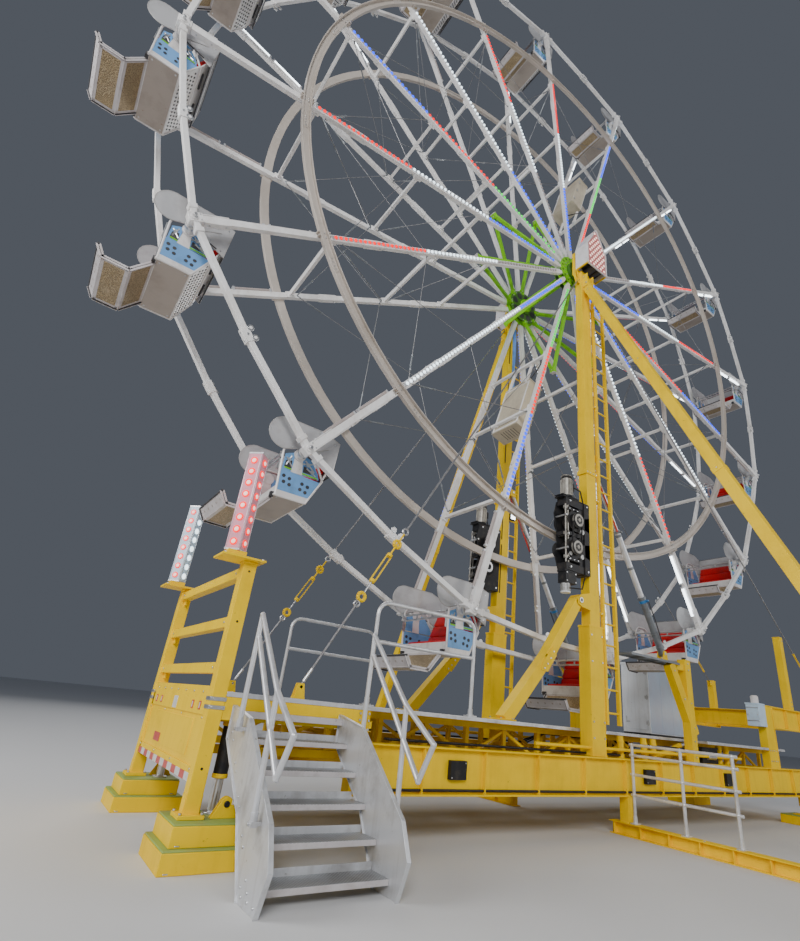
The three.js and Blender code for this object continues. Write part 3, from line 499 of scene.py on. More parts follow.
def tie_rods(word, side):
    """Thin crossed rods with small turnbuckles in the wheel's plane, and the ones across the wheel."""
    w = Form(side)

    def tie(p, q, part):
        w.rod(p, q, 5.5, 6)
        step, c = (q - p).normalized(), p.lerp(q, part)
        w.rod(c - step * 0.11, c + step * 0.11, 12, 8, 1)
        for end in (c - step * 0.12, c + step * 0.12):
            w.rod(end - step * 0.02, end + step * 0.02, 16, 6, 1)
        w.rod(p, p + step * 0.07, 13, 6, 1)
        w.rod(q, q - step * 0.07, 13, 6, 1)

    for k in range(SEATS):
        a, b = spoke_angle(k), spoke_angle(k + 1)
        tie(w.on(5560, a, 712), w.on(3930, b, 712), 0.14)
        tie(w.on(3930, a, 712), w.on(5560, b, 712), 0.86)
        if word == "near":
            tie(w.on(5600, a, 700), w.on(3900, a, -700), 0.2)
            tie(w.on(3780, a, -700), w.on(2540, a, 700), 0.2)
    piece(f"{word}_tie_rods", w, "wheel", ["wire_rope", "ram_grey"])


# Lamp colours from the ring inwards, for each spoke, and the spokes whose end tubes are lit
NEAR_LAMPS = ("rwb", "bgr", "www", "rwd", "rwb", "brr", "wwb", "rww", "wbb", "brg", "wwb", "rwd", "rwb", "brg", "wwb",
              "rwd")
LAMP_KEYS = ["rail_tube", "bulb_red", "bulb_white", "bulb_blue", "bulb_green", "bulb_dim", "tube_white"]
LAMP_AT = {"r": 1, "w": 2, "b": 3, "g": 4, "d": 5}
LIT_TUBES = {"near": (0, 1, 2, 3, 4, 7, 8), "far": (13, 14, 0, 1, 2, 3, 4, 5, 7)}
BULBS, BULB_PITCH, FIRST_BULB = 64, 80, 600


def lamps(word, side):
    w = Form(side)
    shift = 0 if word == "near" else -22
    for k in range(SEATS):
        a = spoke_angle(k)
        w.ray(a, 560, 5700, 780, 10, 46, shift)
        for i in range(BULBS):
            r = FIRST_BULB + BULB_PITCH * i
            key = LAMP_AT[NEAR_LAMPS[k][2 - min(BULB_PITCH * i // 1700, 2)]]
            w.rod(w.on(r, a, 784, shift), w.on(r, a, 800, shift), 27, 12, key, 17)
        for r0, r1 in ((5990, 6560), (6640, 7210)):
            w.rod(w.on(r0, a, 716, -62), w.on(r1, a, 716, -62), 22, 12, 6 if k in LIT_TUBES[word] else 5)
            for r in (r0 - 14, r1 - 14):
                w.ray(a, r, r + 28, 716, 50, 46, -62)
    piece(f"{word}_lamp_strips", w, "wheel", LAMP_KEYS)


def axle():
    """Axle, hub drums and the star of bar pairs that meet between the two hubs."""
    w = Form()
    w.discs(0, HUB, ((-999, 999, 89, 48, 1), (-640, 640, 104, 48, 0)))
    for w.side in (-1, 1):
        # the darker green rings of the hub drums (material 3) are lime with painted shade
        w.discs(0, HUB, ((601, 618, 398, 64, 3), (616, 676, 330, 64, 3), (674, 694, 398, 64, 0),
                         (560, 602, 190, 40, 3), (520, 562, 150, 40, 0)))
        for i in range(8):
            spot = math.radians(189 - 45 * (i + 0.5))
            w.rod(w.on(275, spot, 596), w.on(275, spot, 603), 74, 24, 4)
            w.bolts([w.on(360, spot + math.radians(turn), 602) for turn in (-12, 12)], (0, -1, 0), 14, 12)
    for i in range(8):
        a = math.radians(189 - 45 * i)
        tangent = (-math.sin(a), 0, math.cos(a))
        for w.side in (-1, 1):
            w.bar(w.on(345, a, 642), w.on(1905, a, 12), 60, 60, face=tangent)
            w.bar(w.on(330, a, 642), w.on(460, a, 596), 90, 74, face=tangent)
            for s in (-22, 22):
                w.rod(w.on(400, a, 555, s), w.on(400, a, 625, s), 9, 6, 1)
        w.ray(a, 1842, 1946, 0, 96, 96)
        w.ray(a, 1944, 1959, 0, 100, 100, m=2)
        w.pin(a, 1895, 0, 49, 14, m=1)
    piece("axle_and_bars", w, "wheel", ["lime_paint", "bare_steel", "tray_lip", "hub_green", "dark_trim_and_painted_shade"],
          ("axle_and_star",), bevel=4)


def power_box(word, k):
    """A beige box on two arms between the cross bars of one spoke, with a lid, latches and a cable."""
    w = Form()
    a = spoke_angle(k)
    y0, y1, low, high = -419, 219, 24, 358
    mid_y, middle = (y0 + y1) / 2, (low + high) / 2
    w.ray(a, 2902, 3998, mid_y, 614, 312, middle)
    for r in (2902, 3974):
        w.ray(a, r, r + 24, mid_y, 638, 334, middle)
    # lid frame on the face towards the spoke, latches, arms and vents
    for y in (y0 + 26, y1 - 26):
        w.ray(a, 2940, 3960, y, 34, 10, low + 8, 1)
    for r in (2950, 3930):
        w.ray(a, r, r + 30, mid_y, 540, 10, low + 8, 1)
    for r in (3080, 3450, 3820):
        w.ray(a, r - 40, r + 40, y0 + 2, 14, 30, high - 60, 2)
        w.bolts([w.on(r, a, y0 + 6, s) for s in (low + 40, high - 20)], (0, -1, 0), 12, 10, 2)
    for y in (-320, 120):
        for r0, r1, wide, deep, across in ((2482, 2948, 44, 44, 40), (2440, 2520, 70, 70, 32),
                                           (3800, 3880, 70, 40, 14)):
            w.ray(a, r0, r1, y, wide, deep, across, 1)
    w.pipe([w.on(2904, a, -100, 200), w.on(2760, a, -140, 180), w.on(2600, a, -420, 120), w.on(2490, a, -640, 30)],
           11, m=3)
    for i in range(6):
        w.ray(a, 3990, 4000, -260 + 60 * i, 16, 200, middle, 3)
    piece(f"{word}_power_box", w, "wheel", ["box_beige", "wheel_paint", "bare_steel", "dark_trim_and_painted_shade"],
          bevel=5)


for word, side in SIDES:
    for make in (spokes, rim, drive_ring, tie_rods, lamps):
        make(word, side)
axle()
power_box("upper", 1)
power_box("lower", 9)


# ---- seats ----

SEAT_MATS = ["seat_frame", "seat_pan", "seat_blue", "tray_mesh", "tray_lip", "dark_trim_and_painted_shade", "head_shield", "bare_steel",
             "lime_paint", "shield_rim"]
PANEL = [(-190, -560), (172, -560), (330, -230), (228, -40), *arc(70, -20, 138, 25, 90, 4),
         *arc(-75, -12, 130, 90, 178, 6)]
LOBE = [(-60, 62), (240, -30), (430, -128), (462, 320), (250, 398), *arc(-232, 212, 200, 78, 282, 14)]
HOLES = ((-140, -306), (-68, -324), (-128, -378), (-56, -396), (92, -340), (164, -356), (80, -412), (148, -430))
FOLDS = [(-196, -556), (-385, -793), (-655, -786), (-727, -658)]
INSIDE = 506
TRAY = 430


def seat_side(w):
    # a bent tube frame round a sheet, with a blue band that has two groups of four holes
    w.pipe([(x, 517, z) for x, z in PANEL + PANEL[:1]], 13)
    # band, hanger from the pivot down to it, arch behind, two dark plates as painted shade of the mechanism's inside,
    # and green strip
    for outline, y0, y1, m in (
            ([(-188, -556), (170, -556), (200, -492), (-189, -492)], 508, 522, 0),
            ([(-189, -490), (201, -490), (312, -255), (-194, -230)], 510, 520, 2),
            ([(-36, 46), (36, 46), (70, -235), (-70, -235)], 505, 515, 0),
            ([(-172, -30), (-60, 20), (-52, -228), (-180, -228)], 504, 508.4, 2),
            ([(52, 20), (150, -10), (262, -150), (290, -228), (66, -228)], 504, 508.4, 2),
            ([(-150, -108), (-76, -92), (-72, -190), (-158, -190)], 508.8, 513, 5),
            ([(76, -112), (150, -128), (176, -190), (74, -190)], 508.8, 513, 5),
            ([(-156, -206), (266, -226), (262, -210), (-152, -190)], 508.6, 514, 8),
            (LOBE, 530, 538, 6)):
        w.plate(outline, y0, y1, m)
    # the holes are dark discs through the band: painted shade seen through them
    for x, z in HOLES:
        w.discs(x, z, ((508.5, 522, 22, 12, 5),))
    for x, z in ((-118, -96), (120, -86), (186, -158)):
        w.discs(x, z, ((508, 524, 24, 12, 7),))
    w.discs(0, 0, ((500, 528, 74, 24, 0), (526, 640, 60, 24, 0), (600, 628, 66, 24, 7)))
    w.bolt_ring(0, 528, 0, 52, 8, 8, 7)
    # silver links, then the trim on the clear head shield
    for xa, za, xb, zb, y, r, seg, m in (
            (-150, -70, -70, -170, 514, 10, 8, 7), (-96, -40, -140, -170, 514, 10, 8, 7),
            (80, -40, 210, -150, 514, 10, 8, 7), (110, -130, 236, -196, 514, 10, 8, 7),
            (60, -90, 170, -60, 514, 10, 8, 7), (96, 6, 330, -62, 541, 8, 6, 5), (86, 64, 330, 190, 541, 5, 6, 9)):
        w.rod((xa, y, za), (xb, y, zb), r, seg, m)
    w.pipe([(x, 534, z) for x, z in LOBE + LOBE[:1]], 6, 6, 9)
    w.bolts([(x, 538, z) for x, z in ((250, 30), (380, -60), (400, 280), (-120, 60), (10, 60))], OUT, 9, 6, 7)
    # tray edges and hinges, with a thin dark strip inside each bent-down edge as painted shade on its inner face, and
    # the ends of the lap bar
    for (x0, z0), (x1, z1) in zip(FOLDS, FOLDS[1:]):
        for inset, wide, deep, m in ((28, 52, 12, 4), (4, 8, 48, 4), (12, 7, 42, 5)):
            w.bar((x0, TRAY - inset, z0), (x1, TRAY - inset, z1), wide, deep, m)
    w.bar((-212, 436, -545), (-212, 488, -545), 40, 54, 5, FRONT)
    w.rod((-205, 436, -540), (-205, 500, -540), 20, 8, 5)
    w.bar((-212, 498, -20), (-212, 498, -240), 10, 42, 7)
    w.bar((-212, 180, -34), (-212, 180, -102), 24, 10, 7)


def seat_shell(origin):
    w = Form(origin=origin)
    for w.side in (-1, 1):
        seat_side(w)
    # rear shield, floor pan, lip and reclined back between the two sides
    for outline, reach, m in (([(432, -126), (460, 318), (452, 319), (423, -122)], 528, 6),
                              ([(-188, -560), (170, -560), (170, -548), (-188, -548)], INSIDE, 1),
                              ([(-188, -548), (-174, -548), (-170, -420), (-184, -420)], INSIDE, 0),
                              ([(170, -560), (335, -228), (323, -220), (158, -554)], INSIDE, 0),
                              ([(335, -228), (438, 66), (426, 72), (323, -222)], INSIDE, 0)):
        w.plate(outline, -reach, reach, m)
    w.bolts([(x, y, -560) for y in (-460, 460) for x in (-150, 130)], (0, 0, -1), 12, 5, 7)
    # five rows of holes in the lower back, drawn as small dark discs: painted shade seen through the holes
    out = Vector((332, 0, -165)).normalized() * 8 * MM
    for i in range(5):
        t = 0.16 + 0.17 * i
        for j in range(15):
            c = w.spot((167 + 165 * t, -434 + 62 * j + 31 * (i % 2), -559 + 332 * t))
            w.rod(c, c + out, 15, 8, 5)
    for y in (-250, 250):
        w.bar((372, y - 120, -120), (372, y + 120, -120), 26, 40, 5, (0.33, 0, 0.94))
    # foot tray: three folds, framed mesh in two of them
    for i, (x0, z0), (x1, z1) in zip(range(3), FOLDS, FOLDS[1:]):
        w.bar((x0, 0, z0), (x1, 0, z1), 2 * TRAY, 6, (3, 3, 4)[i])
        for t in (0.06, 0.94) if i < 2 else ():
            x, z = x0 + (x1 - x0) * t, z0 + (z1 - z0) * t
            w.bar((x, -TRAY, z), (x, TRAY, z), 12, 34, 4, (z0 - z1, 0, x1 - x0))
    w.bolts([(-690, y, -718) for y in (-300, -150, 0, 150, 300)], (-0.86, 0, -0.5), 16, 7)
    # round edges of shield, pan and back, the tray's bends and edge, the hinge rod and the lap bar
    for x, z, reach, r, seg, m in (
            (430, -118, 528, 9, 8, 5), (458, 310, 528, 9, 8, 5), (338, -226, 506, 12, 8, 0),
            (172, -556, 506, 11, 8, 0), (436, 66, 506, 13, 8, 0), (-385, -793, TRAY, 8, 8, 4),
            (-655, -786, TRAY, 8, 8, 4), (-727, -656, TRAY + 6, 13, 8, 5), (-198, -552, 520, 14, 8, 0),
            (-212, -34, 503, 13, 10, 7), (-212, -102, 503, 13, 10, 7)):
        w.discs(x, z, ((-reach, reach, r, seg, m),))
    return w


def pads(origin, name, body):
    """Bench and back cushions, crowned and drawn in at the edges."""
    w = Form(origin=origin)

    def cushion(center, ax, az, long, wide, thick):
        place = Matrix((ax, Vector(OUT), az)).transposed().to_4x4()
        place.translation = center
        bmesh.ops.create_cube(w.bm, size=1)
        edges = [e for e in w.bm.edges if not e.verts[0].tag]
        bmesh.ops.subdivide_edges(w.bm, edges=edges, cuts=5, use_grid_fill=True)
        mine = [v for v in w.bm.verts if not v.tag]
        for v in mine:
            x, y, z = v.co
            crown = (1 - (2 * x) ** 4) * (1 - (2 * y) ** 4)
            waist = 1 - (2 * x) ** 2
            pinch = 0.97 - 0.06 * abs(2 * y) ** 3 * waist
            v.co = Vector((x * long * pinch, y * wide * (1 - 0.03 * waist), z * thick * (0.62 + 0.38 * crown)))
            v.tag = True
        bmesh.ops.transform(w.bm, matrix=place, verts=mine)

    tilt = math.radians(6)
    flat = Vector((math.cos(tilt), 0, -math.sin(tilt)))
    cushion(w.spot((20, 0, -440)), flat, Vector((math.sin(tilt), 0, math.cos(tilt))), 0.34, 0.96, 0.11)
    foot = Vector((205, 0, -470))
    up = (Vector((430, 0, 60)) - foot).normalized()
    for i in range(3):
        c = foot.lerp(Vector((405, 0, 60)), 0.2 + 0.3 * i)
        cushion(w.spot((c.x - 22, 0, c.z + 14)), up, up.cross(Vector(OUT)), 0.175, 0.95, 0.085)
    obj = piece(name, w, body, ["bench_vinyl"], angle=60)
    obj.modifiers.new("round", "SUBSURF").levels = 1
    obj.modifiers["round"].render_levels = 1


for k in range(SEATS):
    a = spoke_angle(k)
    spot = (PIVOT_R * math.cos(a), 0.0, HUB + PIVOT_R * math.sin(a))
    tag = f"seat_{k + 1:02d}"
    piece(f"{tag}_shell", seat_shell(spot), tag, SEAT_MATS, (tag,))
    pads(spot, f"{tag}_pads", tag)


# ---- base ----

YELLOW = ["yellow_paint", "bare_steel", "machine_black"]
TRUSS_X, TRUSS_LENGTH, TRUSS_BAYS = -5040, 11300, 18


def beam(w, x0, x1, z0, z1, pitch=850):
    """A welded side beam with two flanges, a web and stiffening plates."""
    w.boxes(((x0, x1, BEAM_IN, BEAM_OUT, z1 - 18, z1), (x0, x1, BEAM_IN, BEAM_OUT, z0, z0 + 18),
             (x0 + 2, x1 - 2, BEAM_MID - 8, BEAM_MID + 8, z0 + 10, z1 - 10)))
    for x in (x0, x1 - 14):
        w.box(x, x + 14, BEAM_IN, BEAM_OUT, z0 + 10, z1 - 10)
    count = max(2, round((x1 - x0) / pitch))
    for i in range(1, count):
        x = x0 + (x1 - x0) * i / count
        w.box(x - 5, x + 5, BEAM_IN + 8, BEAM_OUT - 8, z0 + 12, z1 - 12)


def cross_member(w, x, z0, z1):
    for z in (z0, z1 - 14):
        w.box(x - 90, x + 90, -1078, 1078, z, z + 14)
    w.box(x - 8, x + 8, -1078, 1078, z0 + 6, z1 - 8)


def chassis_side(w):
    beam(w, -3799, 6399, 450.5, 899.5)
    beam(w, 5061, 7499, 1560.5, 1939.5, 620)
    # boarding end, chords of the truss under the deck, jack seat, riser to the neck with its flanges
    w.boxes(((-5088, -3790, 1186, 1199, 1001, 1178.5), (-5089, -3790, 1060, 1190, 1000, 1014),
             (-5089, -3790, 1060, 1190, 1165, 1179), (-3798, -3661, 1061, 1198, 890, 1179),
             (-5069, 6299, 510, 630, 700, 770), (-5069, 6299, 510, 630, 1104, 1179),
             (JACK_X - 110, JACK_X + 110, 890, 1064, 981, 1179), (4712, 5050, 1072, 1188, 892, 1938),
             (4701, 4715, 1061, 1199, 891, 1939), (5045, 5059, 1061, 1199, 891, 1939),
             (4704, 5056, 1063, 1197, 1926, 1939.5)))
    w.bolts([(x, 1199.5, z) for x in (-3780, -3680) for z in (930, 1010, 1090, 1150)], OUT, 13, 9)
    w.bolts([(4760 + 80 * i, 1188, z) for i in range(4) for z in (1010, 1180)], OUT, 14, 10)
    w.bolts([(x, 1190, 890) for x in range(-3600, 6300, 450)], UP, 11, 9)
    bay = TRUSS_LENGTH / TRUSS_BAYS
    for i in range(TRUSS_BAYS + 1):
        x = TRUSS_X + bay * i
        w.box(x - 28, x + 28, 542, 598, 768, 1106)
        if i < TRUSS_BAYS:
            low, high = (778, 1096) if i % 2 else (1096, 778)
            w.bar((x, 570, low), (x + bay, 570, high), 36, 36)
    # guy post and cradle post on the neck
    for x0, x1, top in ((7341, 7479, 2619), (5881, 6009, 3339)):
        w.box(x0, x1, 1061, 1199, 1930, top - 12)
        w.box(x0 - 8, x1 + 8, 1061, 1199.5, top - 16, top)
        for x in (x0 - 14, x1):
            w.plate([(x, 1936), (x + 14, 1936), (x + 14, 2140), (x, 2100)], 1075, 1185)
        w.bolts([((x0 + x1) / 2, 1199, z) for z in (2010, 2090, top - 80)], OUT, 15, 11)
    # junction boxes and a pipe along the outer face
    for x in (-2600, 900, 3100):
        w.box(x, x + 220, 1138, 1192, 600, 780, 2)
        w.bolts([(x + 20, 1192, 620), (x + 200, 1192, 760)], OUT, 9, 5)
    w.rod((-3700, 1160, 500), (6300, 1160, 500), 14, 8, 2)
    # pumps, posts and hoses between the deck and the beams
    for x in (620, 1180, 1420, 2560, 3320, 3560):
        w.post(x, 985, ((880, 1176, 44, 20, 0), (1090, 1120, 52, 20, 0)))
    w.boxes(((2700, 3180, 860, 1040, 890, 1120), (2690, 3190, 850, 1050, 1112, 1132)), 2)
    w.rod((1500, 930, 920), (2250, 930, 1120), 40, 20)
    w.rod((2250, 930, 1120), (2500, 930, 1176), 24, 16, 1)
    w.rod((2820, 1042, 1000), (3060, 1042, 1000), 50, 20, 1)
    w.rod((-1200, 1060, 1000), (3900, 1060, 1000), 22)
    for k in range(3):
        y = 1000 - 40 * k
        w.pipe([(-3300, y, 930), (600 + 60 * k, y, 930), (1100, y - 40, 1080), (3500, y - 40, 1090 - 24 * k)], 12,
               m=2)


def chassis():
    w = Form()
    for x in (-3400, -1700, 0, 1700, 3400, 6310):
        cross_member(w, x, 510, 860)
    for x in (5900, 7400):
        cross_member(w, x, 1600, 1900)
    w.boxes(((-5089, -4980, -1078, 1078, 1000, 1014), (-5089, -4980, -1078, 1078, 1165, 1179),
             (-5089, -5075, -1078, 1078, 1006, 1172)))
    for w.side in (1, -1):
        chassis_side(w)
    # pale blue box and short white cylinder on the front face of the near riser
    w.boxes(((4444, 4702, 1004, 1228, 1562, 1930), (4436, 4700, 996, 1236, 1924, 1948)), 3)
    w.boxes(((4438, 4446, 1010, 1222, z, z + 14) for z in (1640, 1860)), 1)
    w.bolts([(4444, y, 1750) for y in (1030, 1200)], FRONT, 12, 10)
    w.post(4575, 1118, ((1946, 2070, 66, 24, 4), (2068, 2084, 52, 24, 4)))
    piece("trailer_chassis", w, "base", YELLOW + ["pillar_pale", "marquee_side"], ("trailer_frame",),
          bevel=3)


def deck(name, node, parts):
    """Sheets of tread plate, screwed down with small gaps between them. Parts: from and to X, and half the width."""
    w = Form()
    for x0, x1, half in parts:
        w.box(x0, x1, -half, half, 1180.5, 1212, 1)
        count = max(1, round((x1 - x0) / 1210))
        wide = (x1 - x0) / count
        for i in range(count):
            for y in (-half, 0):
                x = x0 + wide * i
                w.box(x + 3, x + wide - 3, y + 3, y + half - 3, 1212, 1219.5)
                for sx in (0.05, 0.5, 0.95):
                    for sy in (0.05, 0.95):
                        w.post(x + wide * sx, y + half * sy, ((1218, 1222, 9, 6, 2),))
        for w.side in (-1, 1):
            w.box(x0, x1, half - 5, half - 0.5, 1181, 1219.8, 2)
    piece(name, w, "base", ["tread_plate", "stair_metal", "rail_tube"], (node,), bevel=1.5)


def portal():
    w = Form()
    x = PORTAL_X
    for w.side in (-1, 1):
        w.boxes(((x - 60, x + 60, 1080, 1200, 301, 2318), (x - 66, x + 66, 1074, 1206, 2316, 2330),
                 (x - 110, x + 90, 1040, 1260, 301, 330), (x - 66, x - 60, 1090, 1190, 328, 460),
                 (x + 60, x + 66, 1090, 1190, 328, 460)))
        w.boxes((x - 8, x + 8, 1010, 1082, z - 60, z) for z in (1355, 1745, 2195))
        w.boxes(((x - 68, x + 68, 1072, 1208, z - 16, z + 16) for z in (1090, 1155)), 1)
        w.bolts([(x + s, y, 330) for s in (-92, 72) for y in (1060, 1240)], UP, 14, 16)
        w.bolts([(x + s, 1208, z) for s in (-40, 40) for z in (1090, 1155)], OUT, 9, 8)
        w.bolts([(x, 1200, z) for z in (640, 1790, 2240)], OUT, 11, 6, 2)
    for z in (1400, 1790, 2240):
        w.box(x - 45, x + 45, -1082, 1082, z - 45, z + 45)
        w.bolts([(x - 45, y, z) for y in (-980, 980)], FRONT, 12, 9)
    piece("end_posts", w, "base", YELLOW, ("portal_frame",), bevel=7)


def panel():
    w = Form()
    face = PORTAL_X - 50
    w.boxes(((face, -5090.5, -1079, 1079, 1150, 1250), (face + 12, PORTAL_X + 10, -1079, 1079, 534, 1152),
             (face, face + 16, -1079, 1079, 1020, 1152), (face, face + 16, -1079, 1079, 530, 640),
             (face, face + 16, -1079, -1039, 530, 1152), (face, face + 16, 1039, 1079, 530, 1152),
             (face + 6, face + 14, -760, 760, 690, 980)))
    # red and white tape, four red marks with white middles, and two blank labels
    tape = 154
    for i in range(14):
        y = tape * (i - 7)
        w.box(face - 3, face + 1, y, y + tape, 532, 592, 3 if i % 2 else 4)
    for y in (-880, -640, 640, 880):
        w.box(face - 5, face + 1, y - 30, y + 30, 1055, 1125, 3)
        w.box(face - 6, face + 1, y - 14, y + 14, 1066, 1114, 4)
    w.box(face - 4, face + 1, -60, 90, 1030, 1140, 4)
    w.box(face + 2, face + 8, 300, 560, 700, 780, 3)
    w.bolts([(face, y, z) for y in (-1050, -350, 350, 1050) for z in (620, 1000)], FRONT, 10, 8)
    w.bolts([(face, y, 1200) for y in range(-900, 901, 300)], FRONT, 11, 8)
    piece("end_board", w, "base", YELLOW + ["tape_red", "tape_white"], ("end_panel",), bevel=4)


def lamp_pillar(word, side):
    w = Form(side)
    x, y, low = PORTAL_X - 150, 1140, 2330.5
    w.boxes(((x - 140, x + 260, y - 150, y + 150, low, low + 19), (x - 85, x + 85, y - 85, y + 85, low + 18, low + 70)),
            1)
    w.bolts([(x + dx, y + dy, low + 19) for dx in (-115, 235) for dy in (-120, 120)], UP, 13, 12, 2)
    w.post(x, y, ((low + 68, low + 1056, 101, 4, 0), (low + 70, low + 88, 105.5, 4, 2),
                  (low + 1050, low + 1068, 105.5, 4, 2)))
    face = 0.0715
    for sx, sy in ((-1, -1), (1, -1), (1, 1), (-1, 1)):
        out = Vector((sx, sy, 0)).normalized()
        key = 3 if word == "near" or sx == sy else 4
        for i in range(8):
            c = w.spot((x, y, low + 150 + 118 * i)) + out * face
            w.rod(c, c + out * 0.008, 35, 18, key)
            w.rod(c + out * 0.006, c + out * 0.014, 24, 16, 5 if key == 3 else 4, 15)
        for s in (-0.062, 0.062):
            edge = out * face + Vector((-out.y, out.x, 0)) * s
            w.rod(w.spot((x, y, low + 92)) + edge, w.spot((x, y, low + 1044)) + edge, 4, 6, 2)
    skin = "pillar_pink" if word == "near" else "pillar_pale"
    piece(f"{word}_lamp_pillar", w, "base", [skin, "yellow_paint", "rail_tube", "bulb_red", "bulb_white", "bulb_pink"],
          (f"{word}_light_tower",), bevel=2)


def boarding_pads(word, side):
    w = Form(side)
    for x0, x1, y0, y1, z0, z1 in ((-5360, -4680, 800, 1450, 0, 150), (-5310, -4740, 850, 1390, 150, 300)):
        w.box(x0, x1, y0, y1, z0, z1 - 14)
        w.box(x0 + 6, x1 - 6, y0 + 6, y1 - 6, z1 - 16, z1 - 0.5, 3)
        for x in (x0 + 60, x1 - 60):
            w.box(x - 20, x + 20, y0 - 2, y1 + 2, z0 + 8, z0 + 20, 1)
    # jack with collar and piston, and the pierced lug beside it
    w.post(JACK_X, 1000, ((298, 318, 78, 32, 1), (316, 570, 40, 32, 1), (560, 979, 59, 40, 2), (556, 590, 64, 40, 0),
                          (950, 979, 70, 40, 0)))
    for y in (1150, 1196):
        w.plate([(JACK_X - 70, 299), (JACK_X + 150, 299), *arc(JACK_X + 40, 398, 52, 10, 170, 8)], y, y + 14)
    w.discs(JACK_X + 40, 398, ((1140, 1220, 24, 24, 2),))
    piece(f"{word}_pad_stack", w, "base", YELLOW + ["pad_green"], (f"{word}_boarding_pad",), bevel=5)


def rear_jack(word, side):
    w = Form(side)
    w.boxes(((5600, 6250, 830, 1430, 0, 136), (5780, 6070, 985, 1275, 149, 166)))
    w.box(5606, 6244, 836, 1424, 134, 149.5, 3)
    w.bolts([(x, y, 166) for x in (5805, 6045) for y in (1010, 1250)], UP, 12, 13)
    w.post(5925, BEAM_MID, ((160, 300, 52, 32, 1), (290, 449, 74, 40, 0), (288, 306, 75, 40, 0)))
    piece(f"{word}_rear_foot", w, "base", YELLOW + ["pad_green"], (f"{word}_rear_jack",), bevel=5)


CHEEK = [(-1201, 1120), (-1201, 870), (-1390, 730), (-1790, 440), (-2100, 1), (-2420, 1), (-2520, 250), (-2400, 480),
         (-1650, 1045)]
RAIL_ENDS = ((-1545, 1840), (-2205, 1250), (-2620, 1000), (-2465, 740), (-1580, 1650))
RAIL_FEET = (((-1560, 1010), (-1545, 1840)), ((-2225, 500), (-2205, 1250)))
TREADS, RISE, GOING = 5, 195, 220


def stair():
    w = Form()
    left, right = -5000, -3990
    for x, out in ((left, -1), (right, 1)):
        face, rail_x = x + out * 5, x + out * 52
        w.side_plate(CHEEK, x - 5, x + 5)
        for (y0, z0), (y1, z1) in zip(CHEEK, CHEEK[1:] + CHEEK[:1]):
            if z0 > 2 or z1 > 2:
                w.bar((x - out, y0, z0), (x - out, y1, z1), 36, 8, face=FRONT)
        w.bolts([(face, -1420 - GOING * i + dy, 890 - RISE * i + dz)
                 for i in range(TREADS) for dy, dz in ((60, -22), (190, -22), (120, 30))], (out, 0, 0), 10, 7, 4)
        w.bolts([(face, y, 45) for y in (-2148, -2260, -2372)], (out, 0, 0), 10, 7, 4)
        for (y0, z0), (y1, z1) in (*zip(RAIL_ENDS, RAIL_ENDS[1:]), *RAIL_FEET):
            w.rod((rail_x, y0, z0), (rail_x, y1, z1), 21, 16, 1)
        for y, z in RAIL_ENDS:
            w.ball((rail_x, y, z), 22.5, 1, 3)
        for y, z in ((-1560, 990), (-2225, 480)):
            w.boxes(((rail_x - 26, rail_x + 26, y - 34, y + 34, z - 44, z - 12),
                     (rail_x, x, y - 26, y + 26, z - 38, z - 14)))
            w.rod((rail_x, y, z - 40), (rail_x, y, z + 38), 27, 16)
            w.bolts([(rail_x + out * 26, y, z - 28)], (out, 0, 0), 12, 12, 4)
    for i in range(TREADS):
        y, z = -1420.3 - GOING * i, 890 - RISE * i
        w.box(left + 6, right - 6, y, y + 246, z - 8, z, 2)
        w.box(left + 6, right - 6, y - 1, y + 7, z - 40, z - 2, 3)
        w.box(left + 6, right - 6, y + 245, y + 253, z - 40, z + 50)
        for x in (left + 8, right - 48):
            w.box(x, x + 40, y + 20, y + 230, z - 34, z - 8)
        for x in (left + 250, (left + right) / 2, right - 250):
            w.box(x - 4, x + 4, y + 8, y + 244, z - 34, z - 8)
    w.box(left + 6, right - 6, -1265, -1201, 1048, 1084, 2)
    w.box(left + 6, right - 6, -1267, -1261, 1030, 1084, 3)
    piece("boarding_steps", w, "base", ["stair_metal", "rail_tube", "tread_plate", "tray_lip", "bare_steel"],
          ("boarding_stair",), bevel=2)


def deck_hoops(word, side):
    w = Form(side)
    x0, x1, y, bend, top = -3700, -2350, 1150, 130, 2120
    path = [(x0, 1224), *arc(x0 + bend, top, bend, 180, 90, 4), *arc(x1 - bend, top, bend, 90, 0, 4), (x1, 1224)]
    w.pipe([(x, y, z) for x, z in path], 21, 16)
    w.rod((x0, y, 1840), (x1, y, 1840), 20, 16)
    for x in (x0, x1):
        w.box(x - 60, x + 60, y - 45, y + 45, 1221, 1234)
        w.post(x, y, ((1230, 1300, 27, 16, 0),))
        w.bolts([(x + s, y, 1234) for s in (-42, 42)], UP, 9, 10)
    piece(f"{word}_hoop_rail", w, "base", ["rail_tube", "bare_steel"], (f"{word}_deck_rail",), bevel=1.5)


def fence():
    w = Form(-1)
    x = 500
    for y in (1250, 1950, 2600):
        w.post(x, y, ((160, 1086, 21, 16, 0), (160, 240, 27, 16, 0)))
        w.rod((x, y, 1084), (x, y, 1092), 21, 16, r2=12)
        w.box(x - 60, x + 60, y - 39, y + 39, 151, 164)
        w.bolts([(x + s, y, 164) for s in (-40, 40)], UP, 9, 9)
    for z in (1080, 950, 720, 480):
        w.rod((x, 2660, z), (x, 1214, z), 18, 16)
        for y in (1250, 1950, 2600):
            w.ball((x, y, z), 25)
    piece("guard_rails", w, "base", ["rail_tube", "bare_steel"], ("guard_fence",), bevel=1.5)


